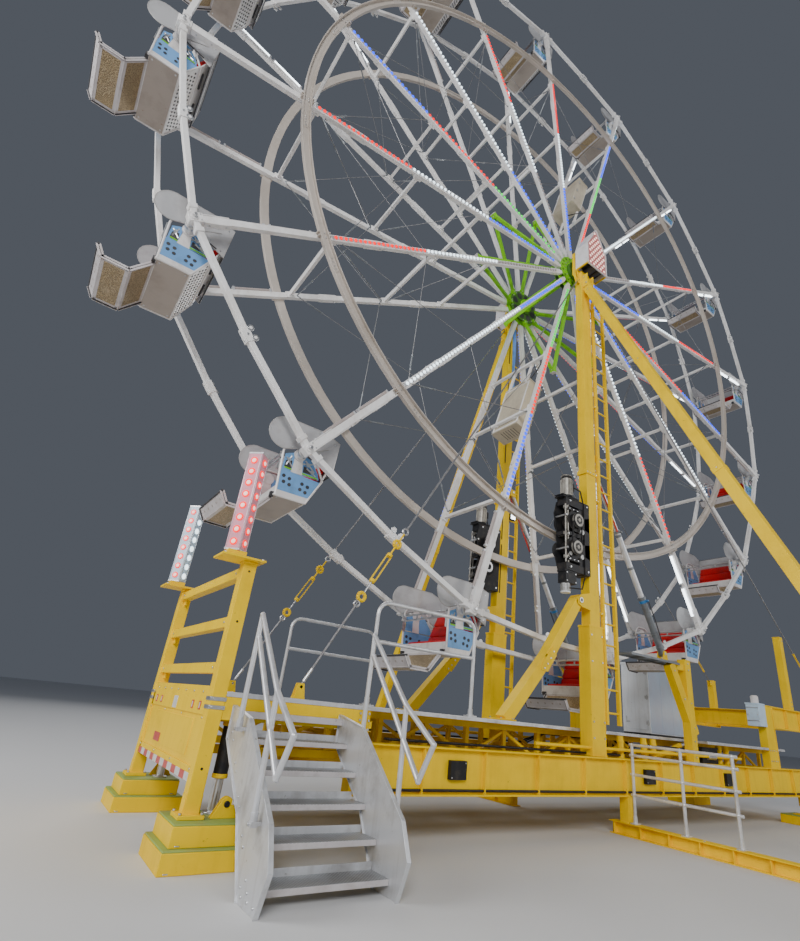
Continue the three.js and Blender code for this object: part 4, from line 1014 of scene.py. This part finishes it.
def tower(word, side):
    w = Form(side)
    leg = 1010
    # column, splice bands and the yellow box round its foot
    w.boxes(((-113, 113, 930, 1090, 901, TOWER_TOP), (-140, 140, 915, 1105, 5030, 5090),
             (-128, 128, 920, 1100, 5094, 5112), (-160, 140, 910, 1110, 916, 2590),
             (-170, 150, 905.5, 1114.5, 901, 918), (-170, 150, 905.5, 1114.5, 2570, 2599),
             (-158, -148, 1104, 1114, 918, 2572), (126, 136, 1104, 1114, 918, 2572)))
    w.bolts([(x, 1105, 5060) for x in (-110, -40, 40, 110)], OUT, 13, 11)
    w.bolts([(x, 1110, z) for z in (1120, 1320, 2100, 2460) for x in (-120, 110)], OUT, 15, 10)
    w.plate([(112, 2590), (150, 2590), (113, 2900)], 990, 1030)
    # lug plates, pin and leg with its knee plates and foot
    for s in (-1, 1):
        w.plate([(-112, 2800), (-112, 3060), (-330, 3000), (-398, 2930), (-380, 2852), (-300, 2820)],
                leg + s * 82, leg + s * 96)
        w.plate([(-900, 2190), (-840, 2080), (-1010, 1850), (-1140, 1860), (-1100, 1970)], leg + s * 74, leg + s * 84)
        w.bolts([(x, leg + s * 84, z) for x, z in ((-905, 2120), (-960, 2030), (-1020, 1950), (-1080, 1890))],
                (0, s, 0), 12, 10)
    w.discs(-335, 2915, ((898, 1122, 26, 20, 1), (898, 912, 40, 20, 1), (1108, 1122, 40, 20, 1)))
    w.discs(-338, 2908, ((936, 1084, 60, 24, 0),))
    w.bar((-350, leg, 2887), (-1000, leg, 2000), 148, 148)
    w.bar((-975, leg, 2034), (-1712, leg, 1221), 148, 148)
    w.box(-1860, -1600, leg - 120, leg + 120, 1221, 1238)
    w.bolts([(x, leg + s, 1238) for x in (-1830, -1635) for s in (-95, 95)], UP, 14, 14)
    # bearing housing on the column head, and the plates that hold the brace head
    w.boxes(((-200, 200, 931, 1000, 9390, 9600), (-196, 196, 934, 996, 9590, 9946)))
    w.discs(0, HUB, ((994, 1004, 150, 40, 2),))
    w.bolt_ring(0, 1004, HUB, 126, 13, 5, start=30)
    for s in (-1, 1):
        w.plate([(s * 112, 9200), (s * 200, 9392), (s * 112, 9392)], 950, 1000)
        w.plate([(s * 113, 9150), (s * 172, 9180), (s * 172, 9262), (s * 113, 9262)], 985, 997)
        w.box(s * 78, s * 92, 1088, 1210, 9030, 9330)
        w.bolts([(s * 92, y, z) for y, z in ((1120, 9280), (1180, 9100))], (s, 0, 0), 18, 12)
    # pulley between two plates, with the hauling rope
    w.discs(150, 5420, ((1000, 1040, 62, 32, 2),))
    w.boxes(((112, 214, 994, 1000, 5360, 5480), (112, 214, 1040, 1046, 5360, 5480)))
    w.rod((205, 1020, 5420), (205, 1020, 2700), 5, 6, 1)
    # a blue plate with a ragged outline on the wheel side, a floodlight on a bracket, and a cable
    w.plate([(8, 9300), (104, 9300), (110, 8700), (96, 8200), (108, 7700), (70, 7350), (36, 7500), (22, 8300)],
            931, 919, 3)
    w.box(112, 190, 940, 964, 4806, 4834)
    w.box(130, 262, 908, 972, 4756, 4884, 2)
    w.box(140, 252, 903, 910, 4766, 4874, 4)
    for z in (3300, 4300, 5900, 7100, 8300):
        w.rod((-60, 926, z), (-60, 926, z + 900), 9, 8, 2)
    piece(f"{word}_tower_column", w, "base", YELLOW + ["seat_blue", "tube_white"], (f"{word}_tower",),
          bevel=6)


RUNGS, RUNG_PITCH, FIRST_RUNG = 24, 305, 1450


def ladder(word, side):
    w = Form(side)
    y = 1095
    for x in (180, 470):
        w.boxes(((x - 18, x + 18, y - 30, y + 30, 1300, 8792), (x - 14, x + 14, y - 26, y + 26, 8790, 8800)))
    for i in range(RUNGS):
        z = FIRST_RUNG + RUNG_PITCH * i
        w.rod((182, y, z), (468, y, z), 14)
        for x in (168, 482):
            w.rod((x - 16, y, z), (x + 16, y, z), 19)
    for z in (2800, 4600, 6400, 8600):
        w.boxes(((114, 180, y - 20, y - 12, z - 20, z + 20), (114, 180, y + 12, y + 20, z - 20, z + 20),
                 (158, 202, y - 34, y + 34, z - 34, z + 34)))
        w.discs(140, z, ((y - 24, y + 24, 9, 12, 1),))
    piece(f"{word}_ladder_rungs", w, "base", YELLOW, (f"{word}_ladder",), bevel=3)


TYRE_X, TYRE_R = -450.0, 140.0
GRIP = 65 + 6 + TYRE_R  # from the middle of the ring to a tyre's centre
TREAD = [(96, 783), (124, 784), (136, 791), (140, 800), (140, 806), (136.5, 808), (140, 810), (140, 817), (136.5, 819),
         (140, 821), (140, 827), (136, 835), (124, 842), (96, 843)]


def tyre(w, x, z):
    """Tyre on its hub, axle in two bearings, and a belt pulley at the outer end."""
    w.turned(TREAD, x, z, 40, 4)
    w.discs(x, z, ((786, 840, 97, 32, 1), (778, 850, 52, 24, 0), (845, 1188, 30, 20, 1), (1126, 1136, 116, 40, 0),
                   (1136, 1142, 104, 40, 0), (1142, 1150, 112, 40, 5), (1150, 1156, 104, 40, 0),
                   (1156, 1164, 112, 40, 5), (1164, 1170, 104, 40, 0), (1170, 1182, 116, 40, 0),
                   (1180, 1185, 98, 32, 5), (1184, 1187, 64, 28, 0), (1186, 1190, 30, 20, 5)))
    w.bolt_ring(x, 840, z, 72, 9, 7)
    w.bolt_ring(x, 1187, z, 48, 7, 3, 5)
    for y in (870, 1090):
        w.box(x - 70, x + 70, y, y + 40, z - 46, z + 46)
        w.bolts([(x + s, y + 40, z) for s in (-54, 54)], OUT, 10, 8)


def drive(word, side):
    w = Form(side)
    a = math.atan2(-math.sqrt(RING_R ** 2 - TYRE_X ** 2), TYRE_X)
    flat = (RING_R - 65) * (1 - math.cos(math.pi / 48))
    centres = [(r * math.cos(a), HUB + r * math.sin(a)) for r in (RING_R - GRIP - flat, RING_R + GRIP)]
    # two plates with cut corners round the tyres and pulleys, tied by cross bolts
    w.plate([(-690, 3560), (-610, 3330), (-520, 3302), (-116, 3302), (-116, 4448), (-540, 4448), (-640, 4400),
             (-700, 4200), (-640, 3960), (-640, 3760)], 901, 913)
    for x, z in ((-433, 4100), (-466, 3667)):
        w.plate(arc(x, z, 172, 0, 360, 20)[:-1], 1100, 1112)
        w.plate([(x - 20, z - 40), (-118, z - 120), (-118, z + 120), (x - 20, z + 40)], 1112, 1119)
        w.discs(x, z, ((940, 1060, 118, 28, 0),))
    w.boxes(((-236, -116, 912, 1119, 3304, 4446), (-330, -236, 930, 1090, 3380, 4390),
             (-640, -236, 925, 1100, 3310, 3420), (-640, -236, 925, 1100, 3850, 3910),
             (-640, -236, 925, 1100, 4330, 4440), (-600, -330, 1050, 1112, 3456, 3504),
             (-600, -330, 1050, 1112, 4246, 4294), (-700, -114, 920, 1100, 4446, 4462),
             (-700, -330, 925, 1095, 4474, 4492), (-440, -390, 960, 1060, 4620, 4740)))
    w.boxes(((-660, -560, 1062, 1100, z, z + 46) for z in (3480, 3840, 4260)), 5)
    w.bolts([(x, 1112, z) for z in (3480, 4270) for x in (-570, -480, -390)], OUT, 11, 7)
    for x, z, r in ((-290, 3960, 46), (-300, 3560, 38), (-560, 3560, 30)):
        w.discs(x, z, ((1088, 1122, r, 20, 2),))
    for x, z in ((-560, 3360), (-170, 3360), (-560, 4400), (-170, 4400), (-630, 3640), (-650, 4150), (-600, 3860)):
        w.discs(x, z, ((896, 1126, 15, 12, 1),))
    for x in (-640, -585):
        w.post(x, 1090, ((3420, 4330, 13, 12, 5),))
    # top motor with cooling fins, then gearbox and the lower pale motor
    w.post(-520, 1010, ((4490, 4850, 84, 32, 5), (4484, 4510, 95, 32, 0)))
    w.rod((-520, 1010, 4800), (-520, 1010, 4858), 94, 32, 0, 80)
    for i in range(18):
        turn = 2 * math.pi * i / 18
        out = Vector((math.cos(turn), math.sin(turn), 0))
        c = w.spot((-520, 1010, 4540)) + out * 0.086
        w.bar(c, c + Vector((0, 0, 0.24)), 4, 20, 5, (-out.y, out.x, 0))
    w.boxes(((-636, -404, 934, 1086, 3124, 3300), (-650, -390, 930, 1090, 3284, 3310)))
    w.bolts([(x, 1086, z) for x in (-615, -425) for z in (3150, 3270)], OUT, 11, 9)
    w.post(-560, 1010, ((3000, 3128, 66, 32, 2), *((z, z + 8, 74, 32, 2) for z in range(3010, 3091, 20))))
    w.rod((-560, 1010, 2986), (-560, 1010, 3004), 70, 32, 3, 74)
    for x, z in centres:
        tyre(w, x, z)
    p, q = [w.spot((x, 1155, z)) for x, z in centres]
    across = (q - p).normalized().cross(Vector(OUT)) * 0.1
    for s in (-1, 1):
        w.bar(p + across * s, q + across * s, 26, 9)
    w.pipe([(-410, 1060, 4680), (-300, 1100, 4640), (-190, 1104, 4300), (-150, 1104, 3500)], 11)
    w.pipe([(-560, 1080, 3050), (-300, 1104, 3080), (-150, 1104, 3500)], 9)
    piece(f"{word}_tyre_drive", w, "base", ["machine_black", "bare_steel", "motor_grey", "cabinet_paint",
                                            "tyre_rubber", "pulley_grey"], (f"{word}_drive_unit",),
          bevel=2)


def cylinder(word, side):
    """Three-stage lift cylinder, silver, with couplings, end eyes and hoses."""
    w = Form(side)
    y = 965
    top, first, second, low = [w.spot((x, y, z)) for x, z in ((190, 5330), (800, 4313), (1410, 3288), (1885, 2480))]
    along, out = (low - top).normalized(), Vector((0, side, 0))
    w.rod(top, first, 36, 24, 1)
    w.rod(first, second, 48, 32, 6)
    w.rod(second, low, 56, 32)
    for end, part, r, m in ((first, 0, 62, 0), (first, 0.07, 56, 0), (second, -0.03, 66, 0), (second, 0.03, 62, 2),
                            (low, -0.34, 61, 0), (low, -0.12, 63, 0), (second, -0.55, 52, 0)):
        c = end + along * part
        w.rod(c, c + along * 0.045, r, 32, m)
    for c, reach, r, m in ((second + along * 0.05, 0.105, 17, 2), (first + along * 0.04, 0.09, 15, 0)):
        w.rod(c, c + out * reach, r, 12, m)
    # top bracket and lower lugs, each with pin and eye
    w.boxes(((114, 250, y - 50, y - 38, 5240, 5380), (114, 250, y + 38, y + 50, 5240, 5380),
             (114, 130, y - 49, y + 49, 5242, 5378)), 3)
    for s in (-1, 1):
        w.plate([(1800, 2336), (1960, 2336), (1930, 2500), (1850, 2515)], y + s * 46, y + s * 60, 3)
    w.discs(190, 5330, ((y - 60, y + 60, 24, 20, 1), (y - 36, y + 36, 46, 24, 0)))
    w.discs(1885, 2466, ((y - 66, y + 66, 22, 20, 1), (y - 44, y + 44, 44, 24, 0)))
    # red hose down the top stage, dark one down the lowest
    away = Vector((-0.05, side * 0.04, 0))
    start = top + along * 0.12 + away
    w.pipe([start, start.lerp(first, 0.5) + away * 0.4, first + away + along * 0.04], 14, m=4)
    w.pipe([second + along * 0.05 + out * 0.1, second.lerp(low, 0.4) + out * 0.1, low - along * 0.2 + out * 0.075], 9,
           m=5)
    piece(f"{word}_lift_ram", w, "base", ["ram_grey", "bare_steel", "coupling_blue", "yellow_paint", "tape_red",
                                          "dark_trim_and_painted_shade", "rail_tube"], (f"{word}_lift_cylinder",),
          bevel=2)


def lift_frame(word, side):
    w = Form(side)
    w.boxes(((702, 2000, 902, 1198, 2322, 2334.5), (702, 2000, 902, 910, 2300, 2324),
             (702, 2000, 1190, 1198, 2300, 2324)), 3)
    w.boxes(((x, x + 8, 908, 1192, 2302, 2324) for x in (704, 1100, 1500, 1988)), 3)
    w.bar((1780, BEAM_MID, 2300), (2330, BEAM_MID, 1290), 118, 148)
    for s in (-60, 60):
        w.bar((1800, BEAM_MID + s, 2263), (2310, BEAM_MID + s, 1327), 6, 156)
    w.boxes(((2152, 2308, 1062, 1198, 901, 2398), (2150, 2310, 1060, 1200, 2396, 2410),
             (2150, 2310, 1060, 1200, 901, 922), (1950, 2160, 1092, 1168, 2232, 2318)))
    w.bolts([(2230, 1198, z) for z in (980, 1200, 1750, 2250, 2350)], OUT, 15, 10)
    w.bolts([(1780 + 550 * t, 1193, 2300 - 1010 * t) for t in (0.1, 0.5, 0.9)], OUT, 15, 10)
    w.bolts([(x, y, 2334) for x in (760, 1080, 1400, 1720) for y in (930, 1170)], UP, 11, 8)
    piece(f"{word}_lift_stand", w, "base", YELLOW + ["ram_grey"], (f"{word}_lift_frame",), bevel=3)


def brace(word, side):
    w = Form(side)
    top, foot = w.spot((0, 1078, 9202)), w.spot((0, 5072, 118))
    along = (foot - top).normalized()
    w.bar(top + along * 0.17, foot, 150, 150, face=FRONT)
    w.box(-75, 75, 1091, 1130, 9010, 9340)
    w.side_plate([(1091, 9340), (1128, 9340), (1250, 8990), (1200, 8880), (1091, 8990)], -60, 60)
    for t in (0.28, 2.6, 5.1, 7.6):
        w.bar(top + along * t, top + along * (t + 0.09), 164, 164, face=FRONT)
    for s in (-1, 1):
        w.side_plate([(4860, 91), (5300, 91), (5140, 380), (4990, 400)], s * 78, s * 92)
        w.bolts([(s * 92, y, z) for y, z in ((5020, 300), (5080, 200))], (s, 0, 0), 20, 14)
        w.bolts([top + along * t + Vector((s * 0.082, 0, 0)) for t in (0.31, 2.64, 5.14, 7.64)], (s, 0, 0), 12, 9)
    piece(f"{word}_brace_tube", w, "base", YELLOW, (f"{word}_side_brace",), bevel=6)


def sill(word, side):
    w = Form(side)
    w.boxes(((420, 580, 900, 5350, 0, 12), (420, 580, 900, 5350, 138, 150), (492, 508, 901, 5349, 10, 140),
             (-300, 500, 4700, 5350, 0, 76), (440, 560, 1061, 1199, 148, 449), (425, 575, 1061, 1199, 148, 164)))
    w.boxes((428, 572, y, y + 10, 10, 140) for y in range(960, 5251, 390))
    w.box(-294, 494, 4706, 5344, 74, 89.5, 3)
    w.bolts([(x, y, 150) for x in (436, 564) for y in (1250, 2200, 3300, 4500, 5300)], UP, 12, 10)
    piece(f"{word}_ground_beam", w, "base", YELLOW + ["pad_green"], (f"{word}_sill",), bevel=4)


STAY_MATS = ["wire_rope", "yellow_paint", "bare_steel"]


def turnbuckle(w, a, b, apart, wide, deep, back, fore, r):
    """An open turnbuckle: two side bars between two round ends."""
    along = (b - a).normalized()
    cross = Vector(OUT).cross(along)
    for s in (-apart, apart):
        w.bar(a + cross * s, b + cross * s, wide, deep, 1)
    for c in (a, b):
        w.rod(c - along * back, c + along * fore, r, 16, 1)


def front_guy(word, side):
    w = Form(side)
    y = 1020

    def on_guy(x):
        return w.spot((x, y, 9230 + (x + 143) * 7900 / 4227))

    top, foot = on_guy(-143), on_guy(-4370)
    along = (foot - top).normalized()
    # rope, its sleeves, and the rods between shackle, hooks and turnbuckle
    for a, b, r, seg, m in ((top, on_guy(-3390), 12, 10, 0), (on_guy(-3900), foot, 12, 10, 0),
                            (on_guy(-190), on_guy(-190) + along * 0.14, 17, 12, 2),
                            (on_guy(-4280), on_guy(-4280) + along * 0.14, 17, 12, 2),
                            (on_guy(-3420), on_guy(-3575), 11, 12, 1), (on_guy(-3757), on_guy(-3850), 11, 12, 2)):
        w.rod(a, b, r, seg, m)
    for x, r, thick, m in ((-3405, 36, 12, 2), (-3500, 44, 19, 1), (-3862, 44, 19, 1), (-3905, 32, 11, 2)):
        w.eye(on_guy(x), r, thick, m)
    turnbuckle(w, on_guy(-3581), on_guy(-3757), 0.028, 16, 12, 0.014, 0.02, 33)
    # lugs at the head and on the deck beam
    for s in (-1, 1):
        w.box(-173, -114, y + s * 16, y + s * 26, 9150, 9260, 1)
        w.plate([(-4430, 1221), (-4320, 1221), (-4345, 1358), (-4400, 1358)], y + s * 20, y + s * 34, 1)
    w.box(-4430, -4320, 985.5, 1054.5, 1221, 1236, 1)
    w.discs(-146, 9222, ((988, 1052, 14, 16, 2),))
    w.discs(-4372, 1326, ((986, 1054, 14, 16, 2),))
    piece(f"{word}_front_stay", w, "base", STAY_MATS, (f"{word}_front_guy",))


def rear_guy(word, side):
    w = Form(side)
    top, foot = w.spot((143, 1000, 9230)), w.spot((7300, 1100, 2560))
    along = (foot - top).normalized()
    w.rod(top, foot - along * 0.8, 12, 10)
    w.rod(foot - along * 0.32, foot, 12, 10)
    w.rod(top + along * 0.06, top + along * 0.2, 17, 12, 2)
    turnbuckle(w, foot - along * 0.78, foot - along * 0.36, 0.02, 14, 9, 0.025, 0.025, 22)
    for s in (-1, 1):
        w.box(114, 173, 1000 + s * 16, 1000 + s * 28, 9180, 9280, 1)
        w.box(7251, 7339, 1100 + s * 16, 1100 + s * 29, 2501, 2609, 1)
    w.discs(146, 9228, ((970, 1030, 14, 16, 2),))
    w.discs(7292, 2566, ((1070, 1130, 14, 16, 2),))
    piece(f"{word}_rear_stay", w, "base", STAY_MATS, (f"{word}_rear_guy",))


HOUSE = [(-190, 9451), (390, 9451), (390, 10000), (100, 10549), (-190, 10000)]
HOUSE_MID = Vector((100, 0, 9900))
ROWS, ROW_PITCH, DOT_PITCH = 12, 78, 104


def marquee(word, side):
    """A house-shaped light box, open below, with staggered round bulbs on its outer face."""
    w = Form(side)
    for outline, y0, y1, m in ((HOUSE, 1011, 1024, 0), (HOUSE, 1292, 1304, 0),
                               ([(-164, 9478), (364, 9478), (364, 9992), (100, 10496), (-164, 9992)], 1303, 1307, 1),
                               ([(-190, 9451), (-60, 9451), (-112, 9300), (-150, 9290)], 1024, 1040, 3)):
        w.plate(outline, y0, y1, m)
    for x0, x1 in ((-190, -178), (378, 390)):
        w.box(x0, x1, 1022, 1294, 9452, 9998)
    for x in (-190, 390):
        pull = (HOUSE_MID - Vector(((x + 100) / 2, 0, 10270))).normalized() * 7
        w.bar((x + pull.x, 1158, 10000 + pull.z), (100 + pull.x, 1158, 10545 + pull.z), 272, 12)
    for (x0, z0), (x1, z1) in zip(HOUSE, HOUSE[1:] + HOUSE[:1]):
        pull = (HOUSE_MID - Vector(((x0 + x1) / 2, 0, (z0 + z1) / 2))).normalized() * 9
        w.bar((x0 + pull.x, 1308, z0 + pull.z), (x1 + pull.x, 1308, z1 + pull.z), 22, 18)
    for row in range(ROWS):
        z = 9536.0 + ROW_PITCH * row
        reach = 236 if z < 9990 else 236 * (10500 - z) / 510
        odd = DOT_PITCH // 2 * (row % 2)
        x = -(max(reach - odd, 0) // DOT_PITCH) * DOT_PITCH - odd
        while x <= reach:
            w.rod((100 + x, 1306, z), (100 + x, 1312, z), 39, 14, 5)
            w.rod((100 + x, 1310, z), (100 + x, 1319, z), 32, 14, 2, 20)
            x += DOT_PITCH
    # dark inside with a cable drum, and the yellow rim along the lower edges
    w.box(-176, 376, 1026, 1290, 9600, 9608, 6)
    w.discs(70, 9545, ((1030, 1288, 82, 28, 6),))
    w.discs(230, 9560, ((1030, 1288, 56, 24, 6),))
    w.boxes(((-196, -170, 1016, 1316, 9452, 9484), (372, 396, 1016, 1316, 9452, 9484),
             (-170, 372, 1014, 1040, 9453, 9482)), 3)
    w.bolts([(-190, y, z) for z in (9600, 9850) for y in (1050, 1270)], FRONT, 9, 5, 4)
    piece(f"{word}_light_box", w, "base", ["marquee_side", "marquee_face", "bulb_pink", "yellow_paint", "bare_steel",
                                           "tape_red", "dark_trim_and_painted_shade"], (f"{word}_marquee",), bevel=2)


def cabinet():
    """White cabinet: a framed, hinged door on the end, smooth pale panels along the near side."""
    w = Form()
    w.boxes(((3902, 4680, 624, 1248, 1260, 2572), (4670, 5148, 624, 1038, 1262, 2571),
             (3886, 4694, 606, 1264, 2570, 2619), (4690, 5164, 608, 1049, 2571, 2618),
             (3960, 4600, 1246, 1252, 1320, 2510)))
    w.boxes(((3900, 4680, 621, 1250, 1221, 1262), (4672, 5150, 622, 1040, 1221, 1261)), 2)
    # door with frame, hinges and handle
    w.boxes(((3890, 3904, 624, 664, 1262, 2568), (3890, 3904, 1208, 1248, 1262, 2568),
             (3891, 3904, 662, 1210, 1262, 1306), (3891, 3904, 662, 1210, 2524, 2568),
             (3894, 3904, 676, 1196, 1320, 2510), (3889, 3896, 690, 702, 1334, 2496),
             (3889, 3896, 1170, 1182, 1334, 2496), (3889, 3896, 692, 1180, 1334, 1346),
             (3889, 3896, 692, 1180, 2484, 2496)))
    for z in (1400, 1880, 2360):
        w.post(3888, 668, ((z, z + 100, 13, 12, 3),))
        w.box(3888, 3893, 640, 720, z + 20, z + 80, 3)
    w.box(3878, 3894, 1150, 1166, 1440, 1560, 3)
    w.rod((3880, 1158, 1460), (3880, 1080, 1460), 9, 10, 3)
    for x0, x1 in ((3912, 4306), (4314, 4706), (4714, 5138)):
        w.box(x0, x1, 617, 626, 1276, 2558, 1)
        w.bolts([(x, 617, z) for z in (1300, 2530) for x in (x0 + 20, x1 - 20)], (0, -1, 0), 8, 4, 3)
    # louvres and lifting eyes
    for z in range(1420, 1861, 40):
        w.boxes(((4000, 4560, 1246, 1254, z, z + 14), (5146, 5153, 680, 980, z, z + 14)), 4)
    for x in (3960, 4620, 5090):
        w.eye((x, 830, 2619), 26, 7, 3)
    piece("generator_box", w, "base", ["cabinet_paint", "cover_panel", "dark_trim_and_painted_shade", "bare_steel", "machine_black"],
          ("generator_cabinet",), bevel=4)


chassis()
deck("boarding_floor", "boarding_deck", ((-5089, -1501, 1199.5),))
deck("centre_floor", "centre_deck", ((-1499, 2604, 869.5), (2604, 4690, 1199.5), (4690, 5689, 1049.5)))
for make in (portal, panel, stair, fence, cabinet):
    make()
for word, side in SIDES:
    for make in (lamp_pillar, boarding_pads, rear_jack, deck_hoops, tower, ladder, drive, cylinder, lift_frame, brace,
                 sill, front_guy, rear_guy, marquee):
        make(word, side)


# ---- camera and light ----

# Place, angles and lens worked out from the photograph; focal length, height and shifts are in its pixels
CAMERA = at(-6622.5, -6150.0, 1202.5)
YAW, PITCH, ROLL = 0.607, 0.422, 0.102
FOCAL, PHOTO_HEIGHT, SHIFT_X, SHIFT_Y = 533.4, 941.0, -35.7, 3.7
SENSOR = 36.0
ahead = Vector((math.sin(YAW) * math.cos(PITCH), math.cos(YAW) * math.cos(PITCH), math.sin(PITCH)))
right = Vector((math.cos(YAW), -math.sin(YAW), 0.0))
up = right.cross(ahead)
right, up = math.cos(ROLL) * right + math.sin(ROLL) * up, -math.sin(ROLL) * right + math.cos(ROLL) * up
eye = bpy.data.cameras.new("eye")
eye.sensor_fit = "VERTICAL"
eye.sensor_height = SENSOR
eye.lens = FOCAL * SENSOR / PHOTO_HEIGHT
eye.shift_x = SHIFT_X / PHOTO_HEIGHT
eye.shift_y = SHIFT_Y / PHOTO_HEIGHT
eye.clip_end = 500
camera = bpy.data.objects.new("eye", eye)
place = Matrix((right, up, -ahead)).transposed().to_4x4()
place.translation = CAMERA
camera.matrix_world = place
bpy.context.scene.collection.objects.link(camera)
bpy.context.scene.camera = camera

floor = bmesh.new()
bmesh.ops.create_grid(floor, x_segments=1, y_segments=1, size=150)
mesh = bpy.data.meshes.new("studio_floor")
floor.to_mesh(mesh)
floor.free()
ground = bpy.data.objects.new("studio_floor", mesh)
bpy.context.scene.collection.objects.link(ground)
pale = bpy.data.materials.new("studio_pale")
pale.use_nodes = True
pale.node_tree.nodes["Principled BSDF"].inputs["Base Color"].default_value = (0.70, 0.70, 0.70, 1)
pale.node_tree.nodes["Principled BSDF"].inputs["Roughness"].default_value = 0.9
mesh.materials.append(pale)

world = bpy.data.worlds.new("studio")
world.use_nodes = True
world.node_tree.nodes["Background"].inputs["Color"].default_value = (0.52, 0.58, 0.70, 1)
world.node_tree.nodes["Background"].inputs["Strength"].default_value = 0.17
bpy.context.scene.world = world


def soft_light(name, spot, aim, size, power):
    data = bpy.data.lights.new(name, "AREA")
    data.size = size
    data.energy = power
    obj = bpy.data.objects.new(name, data)
    obj.location = spot
    obj.rotation_euler = (Vector(aim) - Vector(spot)).to_track_quat("-Z", "Y").to_euler()
    bpy.context.scene.collection.objects.link(obj)


soft_light("key", (-16, -20, 14), (0, 0, 7), 9, 3900)
soft_light("fill", (14, -18, 9), (0, 0, 7), 12, 1300)
soft_light("side", (-18, 1, 9), (4, 0, 4), 8, 1500)
soft_light("back", (6, 22, 20), (0, 0, 9), 12, 2000)
